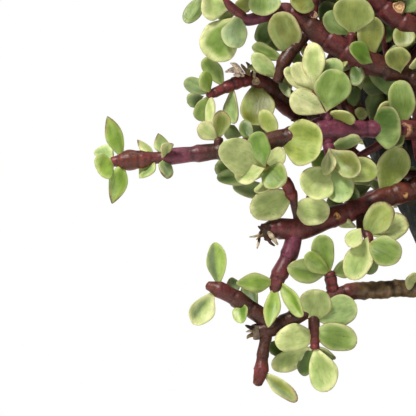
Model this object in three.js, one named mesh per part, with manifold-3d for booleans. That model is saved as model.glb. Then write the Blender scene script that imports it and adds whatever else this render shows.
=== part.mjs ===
// A variegated jade bonsai in a plain oval pot. Millimetres, +Z up, the front faces -Y.
// The origin is under the middle of the whole tree, on the surface that the pot stands on.
import * as THREE from "three";
import { mergeVertices } from "three/addons/utils/BufferGeometryUtils.js";
import Module from "manifold-3d";

const wasm = await Module();
wasm.setup();

// Driving dimensions
const GAP = 0.3;
const LEAF_THICK = 2.4;
const LEAF_CLEAR = 0.5;
const TWIG_SIDES = 4;
const LIMB_SIDES = 6;
const TRUNK_SIDES = 10;
const MERGE = 0.1;
const POT = { x: 22, y: 2, long: 220, short: 168, foot: 8, floor: 7, top: 73 };
const SOIL = { edge: 66, crest: 69, base: 0.4 };
const ROOT = { x: 36, y: 6, radius: 20, bottom: 40 };
const SIGHT = { x: -117, z: 191, distance: 2700 };
const SPRAY = { step: 14, leaf: 17.5, width: 13, spread: 0.95, first: 2.7, last: 1.4, pairs: 3 };
const CROWN = { centre: [0, 4, 262], reach: [158, 138, 140] };
const LOOK_ROUND = { headings: 12, forward: 0.35, ahead: 38 };
const OPEN_AIR = { right: -50, front: -8, depth: -12, top: 300 };

const LEAF_OUTLINE = [[0, 0], [0.34, 0.78], [0.68, 1], [0.97, 0.46], [0.97, -0.46], [0.68, -1], [0.34, -0.78]];
const LEAF_CREST = 0.58;
const ROOT_SINK = 2;
const STUB = 4;

const COLOURS = {
  pot: 0x6b3f2c, soil: 0x3b2e25, trunk: 0x3a3834, limb: 0x5a2f36, leaf: 0x9bb05e,
};

// Small vector helpers on [x, y, z]
const add = (a, b, k = 1) => [a[0] + b[0] * k, a[1] + b[1] * k, a[2] + b[2] * k];
const sub = (a, b) => add(a, b, -1);
const dot = (a, b) => a[0] * b[0] + a[1] * b[1] + a[2] * b[2];
const cross = (a, b) => [a[1] * b[2] - a[2] * b[1], a[2] * b[0] - a[0] * b[2], a[0] * b[1] - a[1] * b[0]];
const scale = (a, k) => [a[0] * k, a[1] * k, a[2] * k];
const unit = (a) => scale(a, 1 / Math.sqrt(dot(a, a)));
const lerp = (a, b, k) => add(scale(a, 1 - k), b, k);

// A point given by its place in the front view and its depth y, on the line of sight of a viewer
// who stands SIGHT.distance in front of the tree.
function seen(x, z, y) {
  const k = 1 + y / SIGHT.distance;
  return [SIGHT.x + (x - SIGHT.x) * k, y, SIGHT.z + (z - SIGHT.z) * k];
}

// Stems. Each limb is { stems: { name: { on, at, points } }, leaves: { name: rows } }. A stem's
// points are [x, z, y, radius] in the front view. A side stem starts on its parent at route
// position `at`, where 2.5 is halfway from point 2 to point 3. A leaf's row is
// [position on its stem, tip x, tip z, depth of the tip past the base, width, roll in degrees].
const LIMBS = {
  limb_left: {
    stems: {
      main: { points: [[4, 231, -22, 6], [-13, 230, -25, 5], [-35, 230.5, -29, 4.3], [-54.5, 230, -33, 6],
        [-62, 229.5, -34, 6.2], [-79.5, 226, -36, 4.6], [-96, 222, -38, 4.3], [-112, 219.5, -40, 4.2],
        [-133.5, 217, -42, 4.1], [-143.5, 216, -43, 3.1], [-155.5, 215, -44, 5.2], [-166, 214, -45, 2.3]] },
      bud: { on: "main", at: 7, points: [[-111.5, 226.5, -42, 2.4]] },
      up: { on: "main", at: 3.6, points: [[-58, 238.5, -35, 3.2], [-64, 250, -36, 2.5]] },
      down: { on: "main", at: 3.6, points: [[-56.5, 221, -36, 3], [-54, 210, -38, 2.3]] },
    },
    leaves: {
      main: [[10.4, -167.5, 237, -3, 9.5, 20], [10.4, -165, 193, -3, 10.5, -20], [11, -173.5, 210, -9, 13.5, 0],
        [11, -172.5, 221, 9, 9, 20], [9, -152.5, 225, 3, 9, 65], [9, -151, 205.5, -2, 10.5, 45],
        [8.4, -142.5, 228, 2, 9, 35], [8.4, -138, 205, -8, 9, -30], [8.4, -139.5, 223, -11, 8.5, 30],
        [5.03, -59, 221.5, -18, 20, 0], [5.2, -90.5, 240, 0, 9, 15], [6, -99, 235, 4, 7, 0],
        [2, -20.5, 231.5, -9, 19, 0], [2, -22, 242, 5, 14, 25], [1.3, -21, 255, -3, 14, 10],
        [1.3, -22, 221, -5, 8, 55]],
      bud: [[1, -122, 233, -4, 9, 0], [1, -110.5, 240, -2, 9.5, 15]],
      up: [[1, -77, 247.5, -8, 13, 0], [1, -52, 260.5, -3, 18, 0], [1, -43, 236, -4, 12, 55],
        [1.95, -64.5, 274, -4, 11.5, 0], [1.85, -51, 265, 6, 12, 0], [1.9, -75, 263, -3, 10, 10],
        [1.75, -79.5, 260, 7, 8, 20]],
      down: [[1, -56, 207, -5, 11, 50], [1, -41, 206.5, -7, 12.5, 0], [1, -41, 226, 4, 9, 40],
        [2, -68.5, 197, -8, 18, 0], [2, -49, 193.5, -4, 14, 0],
        [2, -32, 209, 4, 13, 10]],
    },
  },
  limb_front: {
    stems: {
      main: { points: [[8, 212, -13, 6], [-6, 207.5, -14, 5.4], [-13, 201, -15, 5.2], [-26, 197, -17, 5.2],
        [-41, 191, -20, 5], [-53.5, 187, -23, 5], [-68.5, 181, -27, 5.4], [-84, 180.5, -30, 5],
        [-91.5, 177.5, -31, 1.6]] },
      rise: { on: "main", at: 6.2, points: [[-73.5, 191.5, -29, 1.9], [-75.5, 197.5, -30, 3.2],
        [-78.5, 204, -33, 3], [-89.5, 212, -42, 2.6]] },
      drop: { on: "main", at: 6.3, points: [[-76, 169, -29, 4.2], [-82, 156, -31, 4.1], [-84.5, 147, -32, 1.7]] },
      hang: { on: "main", at: 4, points: [[-40.5, 181, -27, 2.1], [-37, 177, -31, 2.6], [-36, 170.5, -33, 1.8]] },
    },
    leaves: {
      main: [[3.3, -21, 221.5, 2, 16, 10], [5, -43, 181, 3, 8, 50], [4, -48.5, 202, 7, 8, 20]],
      rise: [[2, -96, 188.5, -6, 15.5, 0], [1, -56, 188.5, -10, 14.5, 0], [4, -112, 222, -10, 17, 0],
        [4, -93.5, 230, -8, 11.5, 0], [4, -104, 206, -4, 10.5, 10], [4, -79, 202, -9, 14, 0],
        [4, -79.5, 221, -4, 9, 10], [3.6, -112.5, 206, 8, 9, 0], [2, -104, 201, 9, 9, 20],
        [3.4, -93, 198, -3, 8, 50]],
      drop: [[2.2, -103.5, 153.5, -5, 10, 0], [2.3, -87, 131, -6, 8.5, 0], [2.1, -69.5, 137, -3, 10, 40]],
      hang: [[1.8, -26, 193, -7, 14, 0], [2, -17, 184, 3, 14, 0], [2.6, -20.5, 166, -4, 15, 0],
        [2, -46.5, 155, -4, 14, 0], [3, -36, 158, 5, 9, 20]],
    },
  },
  limb_back_left: {
    stems: {
      main: { points: [[-45, 238.5, 12, 4.6], [-61, 236.5, 0, 4.5], [-71, 242.5, -8, 4.5], [-83.5, 250, -15, 4.4],
        [-95, 256.5, -20, 4.4]] },
      tip: { on: "main", at: 3.9, points: [[-103, 253.5, -24, 3.2], [-114, 248.5, -29, 2.4],
        [-117.5, 247.5, -31, 2]] },
    },
    leaves: {
      main: [[3.8, -92, 231, -10, 15, 0]],
      tip: [[1.5, -119.5, 266, -2, 9, 10], [3, -129, 254.5, -3, 8.5, 10], [3, -119.5, 259, -8, 8.5, 35],
        [3, -121.5, 234.5, 2, 9.5, 0], [3, -116, 233, -7, 8, 50], [1.2, -103.5, 233, -4, 10, 45]],
    },
  },
  limb_upper: {
    stems: {
      main: { points: [[2, 250, -16, 6], [-13, 255, -18, 5.8], [-28.5, 261, -21, 5.8], [-43.5, 266.5, -23, 6],
        [-56, 275, -25, 6], [-67, 282, -26, 5.4], [-76, 289, -27, 4.6], [-86, 288, -28, 3.6],
        [-97, 285, -30, 2.8], [-101, 288, -31, 2.4], [-112, 296, -32, 2.2], [-121, 299, -33, 1.8]] },
      rise: { on: "main", at: 5, points: [[-64, 300, -26, 3.4], [-67, 316, -26, 2.6]] },
      twig: { on: "main", at: 7, points: [[-89, 304, -30, 2.4]] },
      drop: { on: "main", at: 4.9, points: [[-78.5, 265, -29, 3.4], [-82.5, 253.5, -29, 2.6]] },
      mid: { on: "main", at: 3.2, points: [[-45, 279, -27, 2.5]] },
    },
    leaves: {
      main: [[9.4, -121, 292, -5, 14, 0], [9, -117, 266, -6, 20, 0], [9, -105, 270.5, -11, 13, 0],
        [11, -128, 283, -3, 8.5, 10], [11, -134, 306, 2, 12, 10], [7, -90.5, 273, 9, 9.5, 0],
        [2.5, -35.5, 287.5, -3, 13.5, 0], [2.4, -47, 272.5, -9, 10, 35], [3, -42, 251.5, -6, 8, 20],
        [2.7, -23, 248, -5, 11, 25], [3.3, -52, 259, -6, 8, 40], [1.5, -24, 272, -7, 13, 0],
        [1.2, -10, 267, -4, 9, 40]],
      rise: [[1, -74, 291, -8, 14, 0], [1, -50, 306, -3, 14, 0], [2, -82, 324, -4, 14, 0],
        [2, -56, 330, 2, 13, 0], [2, -70, 334, 6, 12, 20]],
      twig: [[1, -90, 287, -7, 16, 0], [1, -103, 312, -2, 14, 0], [1, -86, 320, 4, 13, 10]],
      drop: [[0.8, -82, 289, -9, 16, 0], [1, -95.5, 271, -2, 9, 35], [1.8, -95, 268, -6, 9, 0],
        [2, -97, 262, 3, 8, 60]],
      mid: [[1, -44, 297, -6, 21, 0], [1, -59, 288, -5, 11, 10]],
    },
  },
  limb_top: {
    stems: {
      main: { points: [[0, 276, -13, 6], [-21, 285, -16, 5.8], [-33, 295, -18, 5.2], [-46, 310, -18, 4.2],
        [-52, 328, -16, 3], [-50, 344, -14, 2]] },
    },
    leaves: {
      main: [[1, -18.5, 271, -8, 11.5, 0], [1.2, -31, 275, 9, 12, 10], [1.4, -12, 298, -5, 13, 0],
        [2, -22, 308, -8, 14, 0], [3, -62, 306, -3, 13, 10], [3, -31, 320, -4, 13, 10],
        [4, -66, 338, -6, 14, 0], [4, -38, 336, -6, 14, 0], [4, -52, 326, 15, 13, 0],
        [5, -62, 354, 2, 14, 10], [5, -40, 356, -2, 14, 0]],
    },
  },
  limb_low: {
    stems: {
      main: { points: [[0, 151.5, -9, 4.8], [-13, 151, -14, 4.3], [-26, 150.5, -17, 4.2], [-38.5, 149.5, -20, 4.4],
        [-48.5, 148.5, -22, 4.2], [-62, 142.5, -25, 4.2], [-71, 138, -27, 4.2], [-83.5, 131.5, -29, 4.1],
        [-93, 129, -30, 3.6]] },
      left: { on: "main", at: 7, points: [[-99.5, 143.5, -32, 4.2], [-111, 150, -34, 4], [-118, 152.5, -35, 2.2]] },
      drop: { on: "main", at: 7.4, points: [[-89.5, 118, -31, 2.9], [-90.5, 109.5, -32, 3.6],
        [-92.5, 102, -33, 2.2]] },
      fall: { on: "main", at: 5.1, points: [[-64, 135, -27, 3], [-63.5, 120, -30, 2.3]] },
      rise: { on: "main", at: 4.4, points: [[-56.5, 159.5, -26, 3]] },
    },
    leaves: {
      main: [[1, -18, 157, -8, 9, 20]],
      left: [[2.1, -113.5, 174, -3, 10, 0], [2.3, -124.5, 132.5, -4, 12, 0], [1.5, -103.5, 156, 8, 7, 20],
        [1.1, -100, 133.5, -8, 9, 25], [0.6, -98, 152, 8, 9, 0]],
      drop: [[2, -72, 94.5, -3, 8, 15]],
      fall: [[1, -62, 151, -9, 16.5, 0], [1, -42.5, 143, -4, 16, 0], [1.4, -42.5, 123.5, -5, 14, 0],
        [1.5, -83.5, 124, -8, 13.5, 0], [2, -57.5, 99, -4, 14.5, 0], [1.7, -69.5, 107, 4, 9, 25],
        [1.9, -85, 111, 9, 11, 0], [2, -54, 115, 5, 9, 60]],
      rise: [[1, -61.5, 178.5, -7, 11.5, 0], [0.9, -77, 161, -10, 13, 0], [1, -69, 169, -12, 9, 0],
        [1, -44, 163, 3, 10, 20]],
    },
  },
};

// Trunk, second stem and old limbs: [x, y, z, radius]
const TRUNK_STEM = [[36, 6, 69.6, 27], [36, 6, 74, 23.5], [30, 8, 95, 19.5], [22, 12, 125, 18.5], [12, 16, 155, 17],
  [-1.5, 19, 185, 15.5], [-15, 21, 210, 14.5], [-29, 22, 235, 13], [-37, 22, 262, 11.5], [-38, 20, 290, 9.5],
  [-30, 16, 320, 7.5], [-22, 10, 342, 5]];
const SECOND_STEM = [[18, 8, 132, 14], [26, -6, 165, 13.5], [30, -14, 195, 12.5], [28, -16, 225, 12],
  [22, -14, 255, 10.5], [12, -10, 285, 9], [8, -5, 308, 6.5]];
// Limbs of the rest of the crown: a root on one of the two stems, and how far out the limb's own
// wood starts. Each is grown on by sprays at its end and along its sides.
const CROWN_LIMBS = [
  { clear: 24, points: [[29, -12, 190, 9], [58, -22, 212, 7], [90, -32, 230, 5.6], [120, -38, 246, 4]] },
  { clear: 30, points: [[14, 16, 150, 10], [50, 26, 178, 8], [84, 36, 202, 6.4], [117, 40, 222, 4]] },
  { clear: 24, points: [[27, -15, 235, 8], [54, -6, 262, 6.5], [84, 4, 284, 5.4], [112, 10, 304, 3.8]] },
  { clear: 22, points: [[26, -6, 165, 8], [50, -34, 178, 6.4], [72, -56, 190, 5], [90, -74, 202, 3.6]] },
  { clear: 8, points: [[8.6, -5.6, 305, 6.2], [16, -8, 328, 5.4], [34, -12, 348, 4.6], [54, -16, 362, 3.6]] },
  { clear: 20, points: [[-38, 20, 290, 7], [-64, 32, 316, 5.4], [-84, 42, 336, 3.8]] },
  { clear: 6, points: [[-22.8, 10.4, 339, 4.6], [-18, 4, 354, 4.2], [-22, 2, 366, 3.4]] },
  { clear: 27, points: [[-5, 19, 190, 9], [-18, 56, 214, 7], [-28, 84, 236, 5.4], [-33, 101, 250, 3.8]] },
  { clear: 20, points: [[-37, 22, 262, 8], [-22, 56, 288, 6.4], [-8, 84, 306, 4]] },
  { clear: 25, points: [[8, 17, 165, 9], [32, 54, 190, 7], [54, 84, 212, 5.4], [68, 104, 228, 3.8]] },
  { clear: 20, points: [[22, -14, 255, 7.5], [40, 24, 284, 6], [54, 58, 306, 4]] },
  { clear: 20, points: [[-37, 21, 274, 7], [-72, 6, 308, 5.4], [-104, -4, 326, 4.4], [-124, -10, 336, 3.4]] },
  { clear: 17, points: [[28, -16, 228, 7.5], [26, -50, 242, 6], [22, -80, 254, 4.6], [18, -100, 264, 3.4]] },
  { clear: 18, points: [[26, -16, 245, 7.5], [52, -46, 264, 5.6], [76, -72, 280, 3.8]] },
];
// How far along each crown limb its side sprays stand, with 1 at the end
const SIDE_SPRAYS = [0.85, 0.6, 0.35];

// A repeatable draw between 0 and 1
let seed = 48271;
function draw() {
  seed = (seed * 16807) % 2147483647;
  return seed / 2147483647;
}

// Routes in space, as [x, y, z, radius]
function along(route, at) {
  const i = Math.min(Math.floor(at), route.length - 2);
  return lerp(route[i], route[i + 1], at - i).concat(route[i][3] + (route[i + 1][3] - route[i][3]) * (at - i));
}

// A leaf's root on a stem. At the stem's end it is sunk back into the wood.
function rootOn(route, at) {
  const last = route.length - 1;
  if (at < last) return along(route, at).slice(0, 3);
  const end = route[last].slice(0, 3);
  return add(end, unit(sub(end, route[last - 1])), -ROOT_SINK);
}

// A box round a stretch of stem or a leaf, used to keep pieces clear of each other
function boxRound(centre, axes, half, owner, spray) {
  return { centre, axes, half, owner, spray, reach: Math.sqrt(dot(half, half)) };
}

function boxesApart(a, b) {
  const d = sub(b.centre, a.centre);
  if (Math.sqrt(dot(d, d)) > a.reach + b.reach) return true;
  const tests = [...a.axes, ...b.axes];
  for (const p of a.axes) {
    for (const q of b.axes) tests.push(cross(p, q));
  }
  return tests.some((t) => {
    if (dot(t, t) < 1e-6) return false;
    let sum = 0;
    for (let i = 0; i < 3; i++) {
      sum += a.half[i] * Math.abs(dot(t, a.axes[i])) + b.half[i] * Math.abs(dot(t, b.axes[i]));
    }
    return Math.abs(dot(d, t)) > sum;
  });
}

function sideOf(axis) {
  const up = Math.abs(axis[2]) < 0.9 ? [0, 0, 1] : [1, 0, 0];
  return unit(cross(axis, up));
}

function stemBoxes(route, owner) {
  const boxes = [];
  for (let i = 0; i + 1 < route.length; i++) {
    const step = sub(route[i + 1], route[i]);
    const axis = unit(step);
    const side = sideOf(axis);
    const r = Math.max(route[i][3], route[i + 1][3]);
    const half = [Math.sqrt(dot(step, step)) / 2, r, r];
    boxes.push(boxRound(lerp(route[i], route[i + 1], 0.5), [axis, side, cross(axis, side)], half, owner, "wood"));
  }
  return boxes;
}

// A leaf's frame: along it, across it and out of its face. With no roll the face looks to the front.
function leafFrame(base, tip, roll) {
  const axis = unit(sub(tip, base));
  const front = Math.abs(axis[1]) < 0.95 ? [0, -1, 0] : [0, 0, 1];
  const face = unit(add(front, axis, -dot(front, axis)));
  const side = cross(axis, face);
  const turn = (roll * Math.PI) / 180;
  const out = add(scale(face, Math.cos(turn)), side, Math.sin(turn));
  return [axis, cross(axis, out), out];
}

function leafBox(leaf) {
  const [axis, side, out] = leafFrame(leaf.base, leaf.tip, leaf.roll);
  const length = Math.sqrt(dot(sub(leaf.tip, leaf.base), sub(leaf.tip, leaf.base)));
  const from = add(leaf.base, axis, length * 0.1);
  const half = [length * 0.45, leaf.width * 0.5, LEAF_THICK * 0.4 + LEAF_CLEAR];
  return boxRound(lerp(from, leaf.tip, 0.5), [axis, side, out], half, leaf.owner, leaf.spray);
}

// Everything that stands in the crown so far
const crowd = [];
const stems = [];
const leaves = [];

function addStem(route, owner) {
  stems.push({ route, owner });
  crowd.push(...stemBoxes(route, owner));
}

// Pieces that grow together need no room between them: a leaf and the wood of its own limb, and the
// leaves of one spray.
function together(leaf, box) {
  return box.owner === leaf.owner && (box.spray === "wood" || box.spray === leaf.spray);
}

// A leaf is bent back or forward until it is clear of the others. One that can't be is left out.
const BENDS = [0, -3, 3, -6, 6, -9, 9, -12, 12, -16, 16];
function settle(leaf) {
  for (const bend of BENDS) {
    const tip = [leaf.tip[0], leaf.tip[1] + bend, leaf.tip[2]];
    const box = leafBox({ ...leaf, tip });
    if (crowd.every((other) => together(leaf, other) || boxesApart(box, other))) {
      crowd.push(box);
      leaves.push({ ...leaf, tip });
      return;
    }
  }
}

// The limbs of the front left, with stems first so that no leaf crosses one
const stubs = [];
const pending = [];
for (const [name, limb] of Object.entries(LIMBS)) {
  const routes = {};
  for (const [part, stem] of Object.entries(limb.stems)) {
    const route = stem.points.map(([x, z, y, r]) => [...seen(x, z, y), r]);
    if (stem.on) {
      const start = along(routes[stem.on], stem.at);
      route.unshift([start[0], start[1], start[2], route[0][3]]);
    }
    routes[part] = route;
    addStem(route, name);
  }
  stubs.push(routes.main.slice(0, 2));
  for (const [part, rows] of Object.entries(limb.leaves)) {
    for (const [at, x, z, depth, width, roll] of rows) {
      const base = rootOn(routes[part], at);
      pending.push({ base, tip: seen(x, z, base[1] + depth), width, roll, owner: name, spray: "hand" });
    }
  }
}

// Where each limb of the front left leaves the trunk or the second stem
const LIMB_ROOTS = [[28, -15, 232], [29, -15, 214], [-30, 21, 239], [22, -14, 250], [16, -12, 272], [14, 15, 152]];
const trunkRoutes = [TRUNK_STEM, SECOND_STEM];
function addStub(root, start, next) {
  const axis = unit(sub(next, start));
  const end = add(start, axis, -GAP);
  trunkRoutes.push([[...root, start[3]], [...add(end, axis, -STUB), start[3]], [...end, start[3]]]);
}
LIMB_ROOTS.forEach((root, i) => addStub(root, ...stubs[i]));

// Each crown limb's own wood starts a little way out of its stem
const crownRoutes = CROWN_LIMBS.map(({ clear, points }) => {
  const span = sub(points[1], points[0]);
  const start = add(points[0], unit(span), clear);
  const route = [[...start, points[0][3] * 0.5 + points[1][3] * 0.5], ...points.slice(1)];
  addStub(points[0].slice(0, 3), route[0], route[1]);
  return route;
});
trunkRoutes.forEach((route) => addStem(route, "trunk"));

// A spray of the rest of the crown: a shoot that sways, with crossed pairs of leaves
function growSpray(start, heading, radius, owner, spray) {
  let dir = unit(heading);
  let at = start;
  const route = [[...at, radius]];
  const joints = [];
  for (let i = 0; i < SPRAY.pairs; i++) {
    const sway = [draw() - 0.5, draw() - 0.5, draw() - 0.3];
    if (i > 0) dir = unit(add(dir, sway, 0.5));
    at = add(at, dir, SPRAY.step * (0.85 + 0.3 * draw()));
    const past = i === SPRAY.pairs - 1 ? ROOT_SINK : 0;
    const thick = SPRAY.first + ((SPRAY.last - SPRAY.first) * (i + 1)) / SPRAY.pairs;
    route.push([...add(at, dir, past), thick]);
    joints.push({ at, dir });
  }
  addStem(route, owner);
  const twist = draw() * Math.PI;
  joints.forEach((joint, i) => {
    const side = sideOf(joint.dir);
    const other = cross(joint.dir, side);
    const turn = twist + (i * Math.PI) / 2;
    for (const sign of [1, -1]) {
      const out = add(scale(side, Math.cos(turn) * sign), other, Math.sin(turn) * sign);
      const lean = unit(add(scale(out, SPRAY.spread), joint.dir, 0.75));
      const size = SPRAY.leaf * (0.85 + 0.3 * draw());
      pending.push({ base: joint.at, tip: add(joint.at, lean, size), width: SPRAY.width * (0.85 + 0.3 * draw()),
        facing: joint.dir, owner, spray });
    }
  });
}

// The roll that turns a leaf's upper face towards a direction
function rollTowards(leaf) {
  const [, side, out] = leafFrame(leaf.base, leaf.tip, 0);
  return (Math.atan2(dot(leaf.facing, side), dot(leaf.facing, out)) * 180) / Math.PI;
}

// Where the limbs of the front left have clear air round them, or stand in front
function inOpenAir([x, y, z]) {
  return z < OPEN_AIR.top && (x < OPEN_AIR.right || (x < OPEN_AIR.front && y < OPEN_AIR.depth));
}

// How crowded a point is by the wood so far. No shoot grows out of the crown or over the front left.
function crowding(point) {
  const off = sub(point, CROWN.centre).map((d, i) => d / CROWN.reach[i]);
  if (dot(off, off) > 1 || inOpenAir(point)) return Infinity;
  let sum = 0;
  for (const { route } of stems) {
    for (let i = 0; i + 1 < route.length; i++) {
      const step = sub(route[i + 1], route[i]);
      const k = Math.min(Math.max(dot(sub(point, route[i]), step) / dot(step, step), 0), 1);
      const gap = sub(point, add(route[i], step, k));
      sum += 1 / dot(gap, gap);
    }
  }
  return sum;
}

const endAxis = (route) => unit(sub(route[route.length - 1], route[route.length - 2]));

// The way round a limb in which a shoot finds the most open space
function openest(foot, axis) {
  const side = sideOf(axis);
  const other = cross(axis, side);
  let best = axis;
  let least = Infinity;
  for (let i = 0; i < LOOK_ROUND.headings; i++) {
    const turn = (2 * Math.PI * i) / LOOK_ROUND.headings;
    const out = add(scale(side, Math.cos(turn)), other, Math.sin(turn));
    const heading = unit(add(out, axis, LOOK_ROUND.forward));
    const crowded = crowding(add(foot, heading, LOOK_ROUND.ahead));
    if (crowded < least) {
      least = crowded;
      best = heading;
    }
  }
  return best;
}

// Each crown limb ends in a spray, and its side sprays grow towards the most open space
const crownName = (n) => `crown_${String(n + 1).padStart(2, "0")}`;
crownRoutes.forEach((route, n) => addStem(route, crownName(n)));
crownRoutes.forEach((route, n) => {
  const end = route[route.length - 1];
  growSpray(end.slice(0, 3), endAxis(route), end[3], crownName(n), "end");
});
SIDE_SPRAYS.forEach((share, k) => {
  crownRoutes.forEach((route, n) => {
    const foot = along(route, share * (route.length - 1)).slice(0, 3);
    growSpray(foot, openest(foot, endAxis(route)), SPRAY.first, crownName(n), `side${k}`);
  });
});

for (const leaf of pending) {
  if (leaf.facing) leaf.roll = rollTowards(leaf);
  if (!leaf.facing || !inOpenAir(leaf.tip)) settle(leaf);
}

// Solids
function solidOf(geometry) {
  const bare = geometry.clone();
  bare.deleteAttribute("normal");
  bare.deleteAttribute("uv");
  const merged = mergeVertices(bare, 1e-4);
  return new wasm.Manifold(new wasm.Mesh({
    numProp: 3,
    vertProperties: Float32Array.from(merged.attributes.position.array),
    triVerts: Uint32Array.from(merged.index.array),
  }));
}

function geometryOf(solid) {
  const mesh = solid.asOriginal().simplify(MERGE).getMesh();
  const geometry = new THREE.BufferGeometry();
  geometry.setAttribute("position", new THREE.BufferAttribute(Float32Array.from(mesh.vertProperties), 3));
  geometry.setIndex(new THREE.BufferAttribute(Uint32Array.from(mesh.triVerts), 1));
  geometry.computeVertexNormals();
  return geometry;
}

function shell(points, faces) {
  const geometry = new THREE.BufferGeometry();
  geometry.setAttribute("position", new THREE.Float32BufferAttribute(points.flat(), 3));
  geometry.setIndex(faces.flat());
  return geometry;
}

// A stem has a ring of `sides` points round each point of the route, closed at both ends
function stemShape(route, sides) {
  const points = [];
  const faces = [];
  let across = null;
  route.forEach((p, i) => {
    const before = route[Math.max(i - 1, 0)];
    const after = route[Math.min(i + 1, route.length - 1)];
    const axis = unit(sub(after, before));
    across = across ? unit(add(across, axis, -dot(across, axis))) : sideOf(axis);
    const other = cross(axis, across);
    for (let k = 0; k < sides; k++) {
      const turn = (2 * Math.PI * k) / sides;
      points.push(add(add(p.slice(0, 3), across, p[3] * Math.cos(turn)), other, p[3] * Math.sin(turn)));
    }
  });
  for (let i = 0; i + 1 < route.length; i++) {
    for (let k = 0; k < sides; k++) {
      const a = i * sides + k;
      const b = i * sides + ((k + 1) % sides);
      faces.push([a, b, b + sides], [a, b + sides, a + sides]);
    }
  }
  const last = (route.length - 1) * sides;
  for (let k = 1; k + 1 < sides; k++) {
    faces.push([0, k + 1, k], [last, last + k, last + k + 1]);
  }
  return shell(points, faces);
}

// A blade: the leaf's outline with a crest on each face
function leafShape(leaf) {
  const [axis, side, out] = leafFrame(leaf.base, leaf.tip, leaf.roll);
  const length = Math.sqrt(dot(sub(leaf.tip, leaf.base), sub(leaf.tip, leaf.base)));
  const points = LEAF_OUTLINE.map(([u, v]) => add(add(leaf.base, axis, u * length), side, (v * leaf.width) / 2));
  const crest = add(leaf.base, axis, LEAF_CREST * length);
  const count = points.length;
  points.push(add(crest, out, LEAF_THICK / 2), add(crest, out, -LEAF_THICK / 2));
  const faces = [];
  for (let k = 0; k < count; k++) {
    const next = (k + 1) % count;
    faces.push([k, next, count], [next, k, count + 1]);
  }
  return shell(points, faces);
}

function ellipseLathe(profile, sides) {
  const geometry = new THREE.LatheGeometry(profile.map(([r, z]) => new THREE.Vector2(r, z)), sides);
  geometry.rotateX(Math.PI / 2);
  geometry.scale(1, POT.short / POT.long, 1);
  geometry.translate(POT.x, POT.y, 0);
  return geometry;
}

function upright(radius, low, high, x, y) {
  const geometry = new THREE.CylinderGeometry(radius, radius, high - low, TRUNK_SIDES);
  geometry.rotateX(Math.PI / 2);
  geometry.translate(x, y, (low + high) / 2);
  return geometry;
}

const group = new THREE.Group();
function addMesh(name, geometry, colour, roughness) {
  const material = new THREE.MeshStandardMaterial({ color: colour, roughness, metalness: 0 });
  const mesh = new THREE.Mesh(geometry, material);
  mesh.name = name;
  group.add(mesh);
}

// Pot: an oval dish with a lip, four feet and two drain holes
const POT_SIDES = 22;
const bottom = POT.foot;
const rim = POT.long / 2;
function buildPot() {
  const inside = bottom + POT.floor;
  const profile = [[0, bottom], [rim - 22, bottom], [rim - 12, bottom + 22], [rim - 7, POT.top - 13],
    [rim, POT.top - 11], [rim, POT.top - 2], [rim - 2, POT.top], [rim - 10, POT.top], [rim - 13, POT.top - 13],
    [rim - 18, bottom + 22], [rim - 26, inside], [0, inside]];
  let pot = solidOf(ellipseLathe(profile, POT_SIDES));
  for (const [sx, sy] of [[1, 1], [1, -1], [-1, 1], [-1, -1]]) {
    const foot = new THREE.BoxGeometry(30, 18, bottom + 2);
    foot.translate(POT.x + sx * 52, POT.y + sy * 38, (bottom + 2) / 2);
    pot = pot.add(solidOf(foot));
  }
  for (const sx of [1, -1]) {
    pot = pot.subtract(solidOf(upright(8, bottom - 1, inside + 1, POT.x + sx * 30, POT.y)));
  }
  return pot;
}

// Soil: fills the pot to just under its lip, with a plain hole that the trunk stands in
function buildSoil() {
  const low = bottom + POT.floor + SOIL.base;
  const profile = [[0, low], [rim - 26.8, low], [rim - 18.6, bottom + 22], [rim - 13.6, POT.top - 13],
    [rim - 12.6, SOIL.edge], [rim * 0.55, SOIL.edge + 2], [0, SOIL.crest]];
  const hole = upright(ROOT.radius + GAP * 1.4, ROOT.bottom - GAP, POT.top + 10, ROOT.x, ROOT.y);
  return solidOf(ellipseLathe(profile, POT_SIDES)).subtract(solidOf(hole));
}

addMesh("pot", geometryOf(buildPot()), COLOURS.pot, 0.55);
addMesh("soil", geometryOf(buildSoil()), COLOURS.soil, 0.95);

let trunk = solidOf(upright(ROOT.radius, ROOT.bottom, TRUNK_STEM[0][2] + 4, ROOT.x, ROOT.y));
trunkRoutes.forEach((route, i) => {
  trunk = trunk.add(solidOf(stemShape(route, i < 2 ? TRUNK_SIDES : TWIG_SIDES)));
});
addMesh("trunk", geometryOf(trunk), COLOURS.trunk, 0.85);

const owners = [...new Set(stems.map((stem) => stem.owner))].filter((name) => name !== "trunk");
for (const owner of owners) {
  let solid = null;
  for (const stem of stems.filter((one) => one.owner === owner)) {
    const next = solidOf(stemShape(stem.route, owner.startsWith("limb") ? LIMB_SIDES : TWIG_SIDES));
    solid = solid ? solid.add(next) : next;
  }
  for (const leaf of leaves.filter((one) => one.owner === owner)) {
    solid = solid.add(solidOf(leafShape(leaf)));
  }
  addMesh(owner, geometryOf(solid), owner.startsWith("limb") ? COLOURS.limb : COLOURS.leaf, 0.5);
}

export default group;
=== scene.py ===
"""A variegated jade bonsai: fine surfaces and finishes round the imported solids."""
import math

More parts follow.
